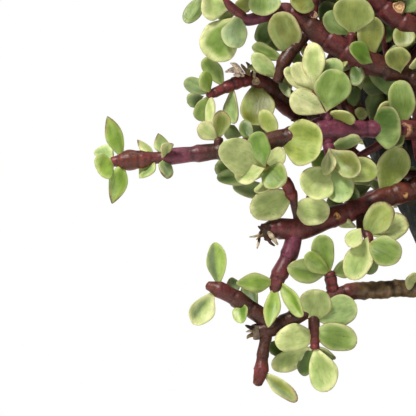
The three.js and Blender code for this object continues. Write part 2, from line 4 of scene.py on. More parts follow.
import bpy
import numpy as np
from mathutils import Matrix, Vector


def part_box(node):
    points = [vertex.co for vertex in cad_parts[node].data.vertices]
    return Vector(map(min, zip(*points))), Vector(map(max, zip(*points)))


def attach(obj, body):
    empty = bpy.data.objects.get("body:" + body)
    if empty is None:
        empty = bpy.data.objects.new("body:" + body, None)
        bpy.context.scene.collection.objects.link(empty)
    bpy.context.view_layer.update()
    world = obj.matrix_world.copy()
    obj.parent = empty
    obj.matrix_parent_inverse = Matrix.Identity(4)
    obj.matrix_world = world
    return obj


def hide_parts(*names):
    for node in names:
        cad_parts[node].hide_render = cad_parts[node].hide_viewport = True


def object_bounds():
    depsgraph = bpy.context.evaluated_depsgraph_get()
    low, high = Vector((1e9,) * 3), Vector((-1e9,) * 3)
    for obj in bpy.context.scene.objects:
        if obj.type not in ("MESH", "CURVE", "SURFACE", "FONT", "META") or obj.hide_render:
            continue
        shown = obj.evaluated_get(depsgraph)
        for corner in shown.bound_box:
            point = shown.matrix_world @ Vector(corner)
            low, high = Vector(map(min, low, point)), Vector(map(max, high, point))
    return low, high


bl_info = {
    "name": "Variegated jade bonsai",
    "version": (1, 0, 0),
    "blender": (4, 5, 0),
    "location": "3D View > Sidebar > Bonsai",
    "description": "Builds a small variegated jade bonsai in an oval pot",
    "category": "Add Mesh",
}

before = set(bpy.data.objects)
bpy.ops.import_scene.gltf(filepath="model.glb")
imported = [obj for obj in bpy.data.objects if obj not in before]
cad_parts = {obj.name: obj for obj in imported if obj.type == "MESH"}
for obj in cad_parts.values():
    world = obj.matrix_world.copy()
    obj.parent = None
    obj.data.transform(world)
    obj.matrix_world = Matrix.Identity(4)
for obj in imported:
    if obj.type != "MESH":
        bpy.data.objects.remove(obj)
CAD_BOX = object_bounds()
MM = 0.001

# Sizes shared with the solids, in millimetres
GAP = 0.3
LEAF_THICK = 2.4
LEAF_CLEAR = 0.5
ROOT_SINK = 2
STUB = 4
SIGHT = {"x": -117, "z": 191, "distance": 2700}
SPRAY = {"step": 14, "leaf": 17.5, "width": 13, "spread": 0.95, "first": 2.7, "last": 1.4, "pairs": 3}
OPEN_AIR = {"right": -50, "front": -8, "depth": -12, "top": 300}
CROWN = {"centre": (0, 4, 262), "reach": (158, 138, 140)}
LOOK_ROUND = {"headings": 12, "forward": 0.35, "ahead": 38}
SIDE_SPRAYS = (0.85, 0.6, 0.35)
BENDS = (0, -3, 3, -6, 6, -9, 9, -12, 12, -16, 16)

# Sprays between those of the solids: the angle from each to the next, how many stand on a limb and
# between which shares of its length, where they stand on the two stems, how far ahead of them the
# crown must go on, how many pairs they have, and how far past the solids' box a point may be
GOLDEN = math.radians(137.5)
FILLING = {"count": 12, "shares": (0.1, 0.95), "trunk": (7.6, 10.9), "second": (3.2, 5.9), "apart": 0.3,
           "reach": 50, "pairs": 4, "spare": 3}
# Where shaded leaves may stand: their left edge under and over a height, how low and how far front
SHADE = {"left": (-62, -78), "over": 262, "low": 204, "front": -15}
# Where the pot's feet stand from its middle, and their size
FOOT = {"x": 52, "y": 38, "long": 30, "wide": 18, "height": 9.5}
# The soil's height at the pot's wall, and the bare ground round the trunk's foot
SOIL_EDGE = 66
BARE_GROUND = 25

# The limbs of the front left: where each roots in the old wood, and its parts. A part is the part
# it starts on and where, its points as (x, z, y, radius, bark), and its leaves as (position on it,
# tip x, tip z, depth of the tip past the base, width, roll in degrees, look). A look is a letter of
# LEAF_COLOURS and one of LEAF_FORMS, and then t scorched tip, r blushed rim, h one half celery,
# k and m one half grey, e and n drawn nearer the front, u drawn wider.
# The colour letters are given leaf by leaf to how bright each leaf stands, so besides its own colour a leaf
# carries painted light and shade: one turned from the lamps may get a paler flesh, and one deep in the crown
# a darker one.
LIMBS = {
    "limb_left": ((28, -15, 232), {
        "main": (None, 0, [
            (4, 231, -22, 6, "B"), (-13, 230, -25, 5, "M"), (-35, 230.5, -29, 4.3, "P"),
            (-54.5, 230, -33, 6, "P"), (-62, 229.5, -34, 6.2, "P"), (-79.5, 226, -36, 4.6, "D"),
            (-96, 222, -38, 4.3, "D"), (-112, 219.5, -40, 4.2, "D"), (-133.5, 217, -42, 4.1, "P"),
            (-143.5, 216, -43, 3.1, "M"), (-155.5, 215, -44, 5.2, "W"), (-166, 214, -45, 2.3, "R"),
        ], [
            (10.4, -167.5, 237, -3, 9.5, 20, "lat"), (10.4, -165, 193, -3, 10.5, -20, "lat"),
            (11, -173.5, 210, -9, 13.5, 0, "lf"), (11, -172.5, 221, 9, 9, 20, "pf"),
            (9, -152.5, 225, 3, 9, 65, "cat"), (9, -151, 205.5, -2, 10.5, 45, "pah"),
            (8.4, -142.5, 228, 2, 9, 35, "pat"), (8.4, -138, 205, -8, 9, -30, "bat"),
            (8.4, -139.5, 223, -11, 8.5, 30, "cvr"), (5.03, -59, 221.5, -18, 20, 0, "yoru"),
            (5.2, -90.5, 240, 0, 9, 15, "yfr"), (6, -99, 235, 4, 7, 0, "sfk"),
            (2, -20.5, 231.5, -9, 19, 0, "soru"), (2, -22, 242, 5, 14, 25, "of"),
            (1.3, -21, 255, -3, 14, 10, "gf"), (1.3, -22, 221, -5, 8, 55, "gf"),
        ]),
        "bud": ("main", 7, [(-111.5, 226.5, -42, 2.4, "D")], [
            (1, -122, 233, -4, 9, 0, "ccr"), (1, -110.5, 240, -2, 9.5, 15, "ovt"),
        ]),
        "up": ("main", 3.6, [(-58, 238.5, -35, 3.2, "P"), (-64, 250, -36, 2.5, "M")], [
            (1, -77, 247.5, -8, 13, 0, "xcer"), (1, -52, 260.5, -3, 18, 0, "gfe"),
            (1, -43, 236, -4, 12, 55, "yf"), (1.95, -64.5, 274, -4, 11.5, 0, "cfr"),
            (1.85, -51, 265, 6, 12, 0, "pf"), (1.9, -75, 263, -3, 10, 10, "xf"),
            (1.75, -79.5, 260, 7, 8, 20, "xf"),
        ]),
        "down": ("main", 3.6, [(-56.5, 221, -36, 3, "P"), (-54, 210, -38, 2.3, "M")], [
            (1, -56, 207, -5, 11, 50, "xfre"), (1, -41, 206.5, -7, 12.5, 0, "dfer"),
            (1, -41, 226, 4, 9, 40, "pf"), (2, -68.5, 197, -8, 18, 0, "zf"),
            (2, -49, 193.5, -4, 14, 0, "pf"), (2, -32, 209, 4, 13, 10, "yv"),
        ]),
    }),
    "limb_front": ((29, -15, 214), {
        "main": (None, 0, [
            (8, 212, -13, 6, "O"), (-6, 207.5, -14, 5.4, "W"), (-13, 201, -15, 5.2, "W"),
            (-26, 197, -17, 5.2, "W"), (-41, 191, -20, 5, "M"), (-53.5, 187, -23, 5, "M"),
            (-68.5, 181, -27, 5.4, "M"), (-84, 180.5, -30, 5, "M"), (-91.5, 177.5, -31, 1.6, "D"),
        ], [
            (3.3, -21, 221.5, 2, 16, 10, "yv"), (5, -43, 181, 3, 8, 50, "ca"),
            (4, -48.5, 202, 7, 8, 20, "sf"),
        ]),
        "rise": ("main", 6.2, [
            (-73.5, 191.5, -29, 1.9, "D"), (-75.5, 197.5, -30, 3.2, "R"), (-78.5, 204, -33, 3, "R"),
            (-89.5, 212, -42, 2.6, "Y"),
        ], [
            (2, -96, 188.5, -6, 15.5, 0, "cor"), (1, -56, 188.5, -10, 14.5, 0, "co"),
            (4, -112, 222, -10, 17, 0, "zo"), (4, -93.5, 230, -8, 11.5, 0, "ffn"),
            (4, -104, 206, -4, 10.5, 10, "cfn"), (4, -79, 202, -9, 14, 0, "gor"),
            (4, -79.5, 221, -4, 9, 10, "zfr"), (3.6, -112.5, 206, 8, 9, 0, "sf"),
            (2, -104, 201, 9, 9, 20, "bf"), (3.4, -93, 198, -3, 8, 50, "zf"),
        ]),
        "drop": ("main", 6.3, [
            (-76, 169, -29, 4.2, "P"), (-82, 156, -31, 4.1, "M"), (-84.5, 147, -32, 1.7, "M"),
        ], [
            (2.2, -103.5, 153.5, -5, 10, 0, "lar"), (2.3, -87, 131, -6, 8.5, 0, "lar"),
            (2.1, -69.5, 137, -3, 10, 40, "lvh"),
        ]),
        "hang": ("main", 4, [
            (-40.5, 181, -27, 2.1, "D"), (-37, 177, -31, 2.6, "M"), (-36, 170.5, -33, 1.8, "W"),
        ], [
            (1.8, -26, 193, -7, 14, 0, "yot"), (2, -17, 184, 3, 14, 0, "zft"),
            (2.6, -20.5, 166, -4, 15, 0, "goer"), (2, -46.5, 155, -4, 14, 0, "cfer"),
            (3, -36, 158, 5, 9, 20, "sf"),
        ]),
    }),
    "limb_back_left": ((-30, 21, 239), {
        "main": (None, 0, [
            (-45, 238.5, 12, 4.6, "O"), (-61, 236.5, 0, 4.5, "D"), (-71, 242.5, -8, 4.5, "D"),
            (-83.5, 250, -15, 4.4, "D"), (-95, 256.5, -20, 4.4, "M"),
        ], [
            (3.8, -92, 231, -10, 15, 0, "dfu"),
        ]),
        "tip": ("main", 3.9, [
            (-103, 253.5, -24, 3.2, "R"), (-114, 248.5, -29, 2.4, "R"), (-117.5, 247.5, -31, 2, "R"),
        ], [
            (1.5, -119.5, 266, -2, 9, 10, "gf"), (3, -129, 254.5, -3, 8.5, 10, "bf"),
            (3, -119.5, 259, -8, 8.5, 35, "lf"), (3, -121.5, 234.5, 2, 9.5, 0, "gf"),
            (3, -116, 233, -7, 8, 50, "cf"), (1.2, -103.5, 233, -4, 10, 45, "pvr"),
        ]),
    }),
    "limb_upper": ((22, -14, 250), {
        "main": (None, 0, [
            (2, 250, -16, 6, "O"), (-13, 255, -18, 5.8, "D"), (-28.5, 261, -21, 5.8, "D"),
            (-43.5, 266.5, -23, 6, "M"), (-56, 275, -25, 6, "M"), (-67, 282, -26, 5.4, "D"),
            (-76, 289, -27, 4.6, "M"), (-86, 288, -28, 3.6, "P"), (-97, 285, -30, 2.8, "P"),
            (-101, 288, -31, 2.4, "M"), (-112, 296, -32, 2.2, "M"), (-121, 299, -33, 1.8, "R"),
        ], [
            (9.4, -121, 292, -5, 14, 0, "cf"), (9, -117, 266, -6, 20, 0, "wf"),
            (9, -105, 270.5, -11, 13, 0, "bf"), (11, -128, 283, -3, 8.5, 10, "sf"),
            (11, -134, 306, 2, 12, 10, "gf"), (7, -90.5, 273, 9, 9.5, 0, "sf"),
            (2.5, -35.5, 287.5, -3, 13.5, 0, "of"), (2.4, -47, 272.5, -9, 10, 35, "fceu"),
            (3, -42, 251.5, -6, 8, 20, "sf"), (2.7, -23, 248, -5, 11, 25, "sf"),
            (3.3, -52, 259, -6, 8, 40, "of"), (1.5, -24, 272, -7, 13, 0, "ofe"),
            (1.2, -10, 267, -4, 9, 40, "cf"),
        ]),
        "rise": ("main", 5, [(-64, 300, -26, 3.4, "M"), (-67, 316, -26, 2.6, "M")], [
            (1, -74, 291, -8, 14, 0, "df"), (1, -50, 306, -3, 14, 0, "gf"), (2, -82, 324, -4, 14, 0, "gf"),
            (2, -56, 330, 2, 13, 0, "yf"), (2, -70, 334, 6, 12, 20, "gf"),
        ]),
        "twig": ("main", 7, [(-89, 304, -30, 2.4, "M")], [
            (1, -90, 287, -7, 16, 0, "gf"), (1, -103, 312, -2, 14, 0, "gf"), (1, -86, 320, 4, 13, 10, "gf"),
        ]),
        "drop": ("main", 4.9, [(-78.5, 265, -29, 3.4, "D"), (-82.5, 253.5, -29, 2.6, "D")], [
            (0.8, -82, 289, -9, 16, 0, "oor"), (1, -95.5, 271, -2, 9, 35, "gv"),
            (1.8, -95, 268, -6, 9, 0, "pvh"), (2, -97, 262, 3, 8, 60, "df"),
        ]),
        "mid": ("main", 3.2, [(-45, 279, -27, 2.5, "M")], [
            (1, -44, 297, -6, 21, 0, "yf"), (1, -59, 288, -5, 11, 10, "sf"),
        ]),
    }),
    "limb_top": ((16, -12, 272), {
        "main": (None, 0, [
            (0, 276, -13, 6, "O"), (-21, 285, -16, 5.8, "M"), (-33, 295, -18, 5.2, "M"),
            (-46, 310, -18, 4.2, "M"), (-52, 328, -16, 3, "M"), (-50, 344, -14, 2, "R"),
        ], [
            (1, -18.5, 271, -8, 11.5, 0, "of"), (1.2, -31, 275, 9, 12, 10, "sf"),
            (1.4, -12, 298, -5, 13, 0, "sf"), (2, -22, 308, -8, 14, 0, "gf"),
            (3, -62, 306, -3, 13, 10, "yf"), (3, -31, 320, -4, 13, 10, "gf"),
            (4, -66, 338, -6, 14, 0, "yf"), (4, -38, 336, -6, 14, 0, "gf"), (4, -52, 326, 15, 13, 0, "gf"),
            (5, -62, 354, 2, 14, 10, "lf"), (5, -40, 356, -2, 14, 0, "gf"),
        ]),
    }),
    "limb_low": ((14, 15, 152), {
        "main": (None, 0, [
            (0, 151.5, -9, 4.8, "B"), (-13, 151, -14, 4.3, "B"), (-26, 150.5, -17, 4.2, "B"),
            (-38.5, 149.5, -20, 4.4, "B"), (-48.5, 148.5, -22, 4.2, "M"), (-62, 142.5, -25, 4.2, "D"),
            (-71, 138, -27, 4.2, "D"), (-83.5, 131.5, -29, 4.1, "D"), (-93, 129, -30, 3.6, "D"),
        ], [
            (1, -18, 157, -8, 9, 20, "zf"),
        ]),
        "left": ("main", 7, [
            (-99.5, 143.5, -32, 4.2, "D"), (-111, 150, -34, 4, "M"), (-118, 152.5, -35, 2.2, "W"),
        ], [
            (2.1, -113.5, 174, -3, 10, 0, "lvm"), (2.3, -124.5, 132.5, -4, 12, 0, "cvk"),
            (1.5, -103.5, 156, 8, 7, 20, "bf"), (1.1, -100, 133.5, -8, 9, 25, "fvh"),
            (0.6, -98, 152, 8, 9, 0, "sf"),
        ]),
        "drop": ("main", 7.4, [
            (-89.5, 118, -31, 2.9, "D"), (-90.5, 109.5, -32, 3.6, "R"), (-92.5, 102, -33, 2.2, "W"),
        ], [
            (2, -72, 94.5, -3, 8, 15, "ofktr"),
        ]),
        "fall": ("main", 5.1, [(-64, 135, -27, 3, "D"), (-63.5, 120, -30, 2.3, "R")], [
            (1, -62, 151, -9, 16.5, 0, "cor"), (1, -42.5, 143, -4, 16, 0, "pf"),
            (1.4, -42.5, 123.5, -5, 14, 0, "gor"), (1.5, -83.5, 124, -8, 13.5, 0, "zo"),
            (2, -57.5, 99, -4, 14.5, 0, "cf"), (1.7, -69.5, 107, 4, 9, 25, "sv"),
            (1.9, -85, 111, 9, 11, 0, "cf"), (2, -54, 115, 5, 9, 60, "sf"),
        ]),
        "rise": ("main", 4.4, [(-56.5, 159.5, -26, 3, "R")], [
            (1, -61.5, 178.5, -7, 11.5, 0, "lf"), (0.9, -77, 161, -10, 13, 0, "gvh"),
            (1, -69, 169, -12, 9, 0, "lf"), (1, -44, 163, 3, 10, 20, "gf"),
        ]),
    }),
}

# Trunk, second stem and the limbs of the rest of the crown, as points (x, y, z, radius). A crown
# limb starts some millimetres past its root in the old wood.
TRUNK_STEM = [(36, 6, 69.6, 27), (36, 6, 74, 23.5), (30, 8, 95, 19.5), (22, 12, 125, 18.5), (12, 16, 155, 17),
              (-1.5, 19, 185, 15.5), (-15, 21, 210, 14.5), (-29, 22, 235, 13), (-37, 22, 262, 11.5),
              (-38, 20, 290, 9.5), (-30, 16, 320, 7.5), (-22, 10, 342, 5)]
SECOND_STEM = [(18, 8, 132, 14), (26, -6, 165, 13.5), (30, -14, 195, 12.5), (28, -16, 225, 12),
               (22, -14, 255, 10.5), (12, -10, 285, 9), (8, -5, 308, 6.5)]
CROWN_LIMBS = [
    (24, [(29, -12, 190, 9), (58, -22, 212, 7), (90, -32, 230, 5.6), (120, -38, 246, 4)]),
    (30, [(14, 16, 150, 10), (50, 26, 178, 8), (84, 36, 202, 6.4), (117, 40, 222, 4)]),
    (24, [(27, -15, 235, 8), (54, -6, 262, 6.5), (84, 4, 284, 5.4), (112, 10, 304, 3.8)]),
    (22, [(26, -6, 165, 8), (50, -34, 178, 6.4), (72, -56, 190, 5), (90, -74, 202, 3.6)]),
    (8, [(8.6, -5.6, 305, 6.2), (16, -8, 328, 5.4), (34, -12, 348, 4.6), (54, -16, 362, 3.6)]),
    (20, [(-38, 20, 290, 7), (-64, 32, 316, 5.4), (-84, 42, 336, 3.8)]),
    (6, [(-22.8, 10.4, 339, 4.6), (-18, 4, 354, 4.2), (-22, 2, 366, 3.4)]),
    (27, [(-5, 19, 190, 9), (-18, 56, 214, 7), (-28, 84, 236, 5.4), (-33, 101, 250, 3.8)]),
    (20, [(-37, 22, 262, 8), (-22, 56, 288, 6.4), (-8, 84, 306, 4)]),
    (25, [(8, 17, 165, 9), (32, 54, 190, 7), (54, 84, 212, 5.4), (68, 104, 228, 3.8)]),
    (20, [(22, -14, 255, 7.5), (40, 24, 284, 6), (54, 58, 306, 4)]),
    (20, [(-37, 21, 274, 7), (-72, 6, 308, 5.4), (-104, -4, 326, 4.4), (-124, -10, 336, 3.4)]),
    (17, [(28, -16, 228, 7.5), (26, -50, 242, 6), (22, -80, 254, 4.6), (18, -100, 264, 3.4)]),
    (18, [(26, -16, 245, 7.5), (52, -46, 264, 5.6), (76, -72, 280, 3.8)]),
]
CROWN_NAMES = [f"crown_{n + 1:02d}" for n in range(len(CROWN_LIMBS))]

# Bark tones: purple, maroon, red, dark, brown, old red, tan, slate, dried petal, old shoot, straw
# and ochre
BARK = {
    "P": "662e42", "M": "602b2c", "R": "6d2d2f", "D": "45251c", "B": "6b573d", "O": "51331f", "T": "8f7752",
    "G": "2c3133", "K": "ffe6d8", "W": "5a2b20", "V": "c4b297", "Y": "9a8448",
}
# Millimetres between the joint rings of each bark
RING_SPACING = {"P": 17, "M": 12, "R": 5, "D": 10, "B": 4, "O": 7, "T": 4, "K": 9, "W": 13, "V": 3, "Y": 4}
# How much rougher than a young shoot a bark is
ROUGHNESS = {"B": 1.3, "O": 0.8, "T": 0.8, "D": 0.25, "W": 0.4}
# A leaf's flesh, the share of cream in its margin, and the margin's width in millimetres
LEAF_COLOURS = {
    "g": ("green", 0.5, 1.0), "f": ("fresh", 0.35, 0.6), "l": ("lime", 0.4, 0.9), "y": ("yellow", 0.5, 1.1),
    "o": ("olive", 0.6, 0.9), "p": ("pale", 0.55, 1.2), "c": ("celery", 0.8, 1.8), "b": ("grey", 0.35, 0.8),
    "s": ("dark", 0.3, 0.6), "w": ("green", 0.7, 2.4), "x": ("cream", 0.3, 1.0), "d": ("moss", 0.35, 0.7),
    "z": ("light", 0.7, 1.4),
}
# How cupped, folded, pointed and round a leaf is
LEAF_FORMS = {"f": (0.15, 0.0, 0.0, 0.0), "v": (0.04, 0.45, 0.2, 0.0), "c": (0.34, 0.0, 0.0, 0.0),
              "a": (0.06, 0.1, 1.0, 0.0), "o": (0.13, 0.0, 0.0, 1.0)}
# How many stem radii nearer the front a leaf is drawn, and how much wider
NEARER = {"e": 1, "n": 2.5}
WIDER = 1.14
# What a leaf of the rest of the crown may look like, and one in the shade behind the front limbs, whose
# mostly darker looks are painted shade on top of the real one
FREE_LOOKS = ("gf", "gf", "gc", "of", "yf", "pf", "lf", "wf", "gfr", "yfr", "ff", "cf", "bf", "wc", "sf")
SHADED_LOOKS = ("sf", "of", "sc", "gf", "bf", "sv", "gc", "of")
# Where light shows through the front of the crown, as (low x, low z, high x, high z) seen from the front
CLEAR_VIEWS = [
    (-49, 274.5, -45, 278), (-59, 265.5, -50, 269.5), (-31, 240.5, -25.5, 244), (-42, 219, -38, 223),
    (-29.5, 219, -27, 220.5), (-42.5, 197, -32.5, 201.5), (-25, 188.5, -21, 193),
]
# Sprays behind the front limbs: limb, first and last place along it, how many
BEHIND = [
    ("limb_upper", 0.4, 4.8, 9), ("limb_left", 0.2, 2.8, 6), ("limb_front", 0.2, 2.6, 4),
    ("limb_top", 0.3, 3.0, 6), ("limb_back_left", 0.1, 0.7, 2),
]

# Healed cuts, as (x, z, y, the way it faces, radius, tone), and dried ends, as a bark and a route
HEALED_CUTS = [
    (-18.5, 230, -30, (-0.6, -1, 0), 3.3, "bd8a6c"), (-18.2, 197.5, -21, (0, -1, 0.3), 1.3, "b98a5a"),
    (-52.7, 187, -28, (0, -1, -0.1), 1.7, "cf9a5c"), (-93, 254.5, -23.6, (0.1, -1, 0.2), 1.8, "c9b090"),
    (-64, 287.5, -29, (0, -1, 0.2), 1.8, "a98a70"), (-21.5, 291.5, -21, (0, -1, 0.2), 3.0, "cfa67c"),
    (-93.8, 128.8, -30.2, (-1, 0, -0.2), 3.4, "8d7c68"), (-88.5, 179, -30.6, (-1, 0, -0.3), 4.0, "4c3a30"),
]
HUSKS = [
    ("V", [(-89, 179, -31, 0.9), (-93, 177, -33, 0.6), (-96.5, 176.5, -34, 0.3)]),
    ("D", [(-89.5, 180, -31, 1.1), (-91.5, 176, -33, 0.7), (-91.5, 173.5, -34, 0.4)]),
    ("V", [(-91, 176, -32.5, 0.6), (-91.8, 173.5, -33.5, 0.7), (-92.5, 170.5, -34, 0.3)]),
    ("T", [(-88.5, 178, -32, 0.9), (-91, 177, -34, 0.5), (-93, 175, -35, 0.25)]),
    ("D", [(-87, 179, -32, 1.2), (-90, 180.5, -34, 1.0), (-92, 182, -35, 0.5)]),
    ("D", [(-85.5, 180.5, -34.5, 0.9), (-88, 182, -35, 0.8), (-90.5, 183, -35, 0.4)]),
    ("D", [(-88.5, 178, -33, 1.0), (-86, 174, -34.5, 0.9), (-83.5, 172, -34.5, 0.5)]),
    ("V", [(-87.5, 180, -33.5, 0.9), (-84.8, 176.5, -35.5, 1.3), (-82, 172.5, -34.5, 0.6)]),
    ("T", [(-96, 257, -22, 1.2), (-99, 261, -25, 0.9), (-100.5, 263, -26, 0.4)]),
    ("T", [(-97, 258, -23, 1.0), (-96.5, 262, -26, 0.9), (-98, 264, -27, 0.4)]),
    ("D", [(-95, 257, -22, 1.1), (-94, 261, -25, 0.9), (-96, 262.5, -27, 0.4)]),
    ("V", [(-94, 256, -23, 0.7), (-93.5, 259.5, -26, 0.8), (-91.5, 261, -27, 0.3)]),
    ("K", [(-99, 257, -24, 0.8), (-102, 257.5, -26, 1.2), (-104.5, 257.5, -27, 0.4)]),
    ("K", [(-99, 258, -24, 0.9), (-104, 260, -26, 1.6), (-108.5, 259, -27, 0.5)]),
    ("K", [(-99, 258, -24, 0.8), (-103, 262, -27, 1.4), (-106, 263.5, -28, 0.4)]),
    ("D", [(-70, 240, -10, 1.5), (-73, 236, -13, 1.0), (-75.5, 234.5, -14, 0.4)]),
    ("D", [(-68, 238, -8, 1.2), (-70, 234.5, -12, 0.9), (-70.5, 232.5, -13, 0.3)]),
    ("D", [(-93, 130, -31, 1.4), (-96.5, 131.5, -33, 1.0), (-98.5, 132.5, -33, 0.4)]),
    ("V", [(-93, 129, -32, 1.0), (-96, 129.5, -34, 0.7), (-98, 129, -34, 0.3)]),
    ("T", [(-93, 128, -31, 1.4), (-96.5, 127, -33, 0.9), (-97.5, 125.5, -33, 0.4)]),
]

# Leaves in the shade behind the front limbs, mostly of dark looks that are painted shade: (base x, z, tip x,
# z, y, width, look)
SHADED_LEAVES = [
    (-49.5, 278, -60.5, 293.5, -13, 12, "sf"), (-34.5, 293, -24.5, 284, -9, 10, "bf"),
    (-22, 287, -31.5, 275, -7, 11, "of"), (-24, 278, -37, 270.5, -6, 9.5, "sf"),
    (-28, 269, -17, 272.5, -12, 4.5, "bf"), (-50.5, 258.5, -46, 266.5, -14, 6.5, "gf"),
    (-40.5, 250, -42.5, 262.5, -12, 8.5, "bf"), (-22, 256.5, -40, 250.5, -9, 12.5, "sfm"),
    (-36, 234, -32, 249.5, -7, 9.5, "sf"), (-46.5, 239, -42.5, 252, -4, 8, "sf"),
    (-25, 241, -30.5, 252, -3, 7, "sf"), (-35, 202, -47, 197, -8, 7, "sf"),
    (-12, 200, -17, 212, -6, 7, "sf"), (-58.5, 221, -63, 210, -28, 8, "ff"),
    (-75, 250, -80.5, 263, -4, 7, "of"), (-75, 245.5, -80.5, 254.5, -28, 5, "bf"),
    (-31, 224, -19.5, 221.5, -12, 6, "of"), (-20, 262, -13, 272, -4, 8, "sf"),
    (-17, 236, -24, 245, -4, 9, "sf"), (-45, 270, -40, 260, -4, 6, "sf"), (-71, 266, -76, 272, -6, 6, "sf"),
    (-16, 294, -22, 302, -6, 8, "sf"), (-51, 297, -60, 288, -6, 8, "sf"), (-45, 233, -38, 241, -5, 7, "of"),
    (-77, 269, -88, 276, -12, 8, "sf"), (-69.5, 262, -75, 268, -14, 6, "sf"),
    (-119, 247, -127.5, 243.5, -25, 8, "bf"), (-99.5, 227, -109, 230, -16, 8, "bf"),
    (-88, 226.5, -95, 232.5, -20, 9, "bf"), (-105, 205, -112, 215, -24, 9, "sf"),
    (-48.5, 192, -57, 195.5, -14, 8, "sf"), (-40.5, 181, -47, 171.5, -36, 9, "cf"),
    (-78, 126, -86, 118, -14, 9, "sf"), (-94, 297, -103, 290, -26, 8, "of"),
    (-103, 288, -112.5, 286.5, -27, 5, "gf"),
]
# Old shoots behind the front limbs, as points (x, z, y, radius)
BACK_SHOOTS = [
    [(-55, 246, -6, 2.4), (-46, 239.5, -5, 3.0), (-36, 232, 0, 3.0), (-24, 224, 6, 3.2)],
    [(-54, 224, -8, 2.4), (-46, 219, -6, 3.2), (-34, 210, -2, 3.6), (-20, 200, 6, 3.8)],
    [(-88, 248, -19, 2.2), (-80, 241.5, -14, 2.8), (-73, 236.5, -9, 2.8), (-68, 234, -5, 2.2)],
]


def add(a, b, k=1.0):
    return [a[0] + b[0] * k, a[1] + b[1] * k, a[2] + b[2] * k]


def sub(a, b):
    return add(a, b, -1)


def dot(a, b):
    return a[0] * b[0] + a[1] * b[1] + a[2] * b[2]


def cross(a, b):
    return [a[1] * b[2] - a[2] * b[1], a[2] * b[0] - a[0] * b[2], a[0] * b[1] - a[1] * b[0]]


def scaled(a, k):
    return [a[0] * k, a[1] * k, a[2] * k]


def unit(a):
    return scaled(a, 1 / math.sqrt(dot(a, a)))


def lerp(a, b, k):
    return add(scaled(a, 1 - k), b, k)


def seen(x, z, y):
    """A place in the front view and a depth, as a point on the line of sight."""
    k = 1 + y / SIGHT["distance"]
    return [SIGHT["x"] + (x - SIGHT["x"]) * k, y, SIGHT["z"] + (z - SIGHT["z"]) * k]


class Draw:
    """The solids' own repeatable draw between 0 and 1."""

    def __init__(self, seed):
        self.seed = seed

    def __call__(self):
        self.seed = (self.seed * 16807) % 2147483647
        return self.seed / 2147483647


def along(route, at):
    i = min(math.floor(at), len(route) - 2)
    a, b = route[i], route[i + 1]
    return lerp(a, b, at - i) + [a[3] + (b[3] - a[3]) * (at - i)]


def end_axis(route):
    return unit(sub(route[-1], route[-2]))


def root_on(route, at):
    last = len(route) - 1
    if at < last:
        return along(route, at)[:3]
    end = list(route[last][:3])
    return add(end, unit(sub(end, route[last - 1])), -ROOT_SINK)


def side_of(axis):
    return unit(cross(axis, [0, 0, 1] if abs(axis[2]) < 0.9 else [1, 0, 0]))


def outward(axis, turn):
    """A way at right angles to an axis, turned round it."""
    side = side_of(axis)
    return add(scaled(side, math.cos(turn)), cross(axis, side), math.sin(turn))


def leaf_frame(base, tip, roll):
    """Along a leaf, across it and out of its face. With no roll the face looks to the front."""
    axis = unit(sub(tip, base))
    front = [0, -1, 0] if abs(axis[1]) < 0.95 else [0, 0, 1]
    face = unit(add(front, axis, -dot(front, axis)))
    side = cross(axis, face)
    turn = math.radians(roll)
    out = add(scaled(face, math.cos(turn)), side, math.sin(turn))
    return axis, cross(axis, out), out


def boxes_apart(a, b):
    """True where two turned boxes have a plane between them."""
    d = sub(b["centre"], a["centre"])
    if math.sqrt(dot(d, d)) > a["reach"] + b["reach"]:
        return True
    tests = [*a["axes"], *b["axes"]]
    tests += [cross(p, q) for p in a["axes"] for q in b["axes"]]
    for t in tests:
        if dot(t, t) < 1e-6:
            continue
        room = 0
        for i in range(3):
            room += a["half"][i] * abs(dot(t, a["axes"][i])) + b["half"][i] * abs(dot(t, b["axes"][i]))
        if abs(dot(d, t)) > room:
            return True
    return False


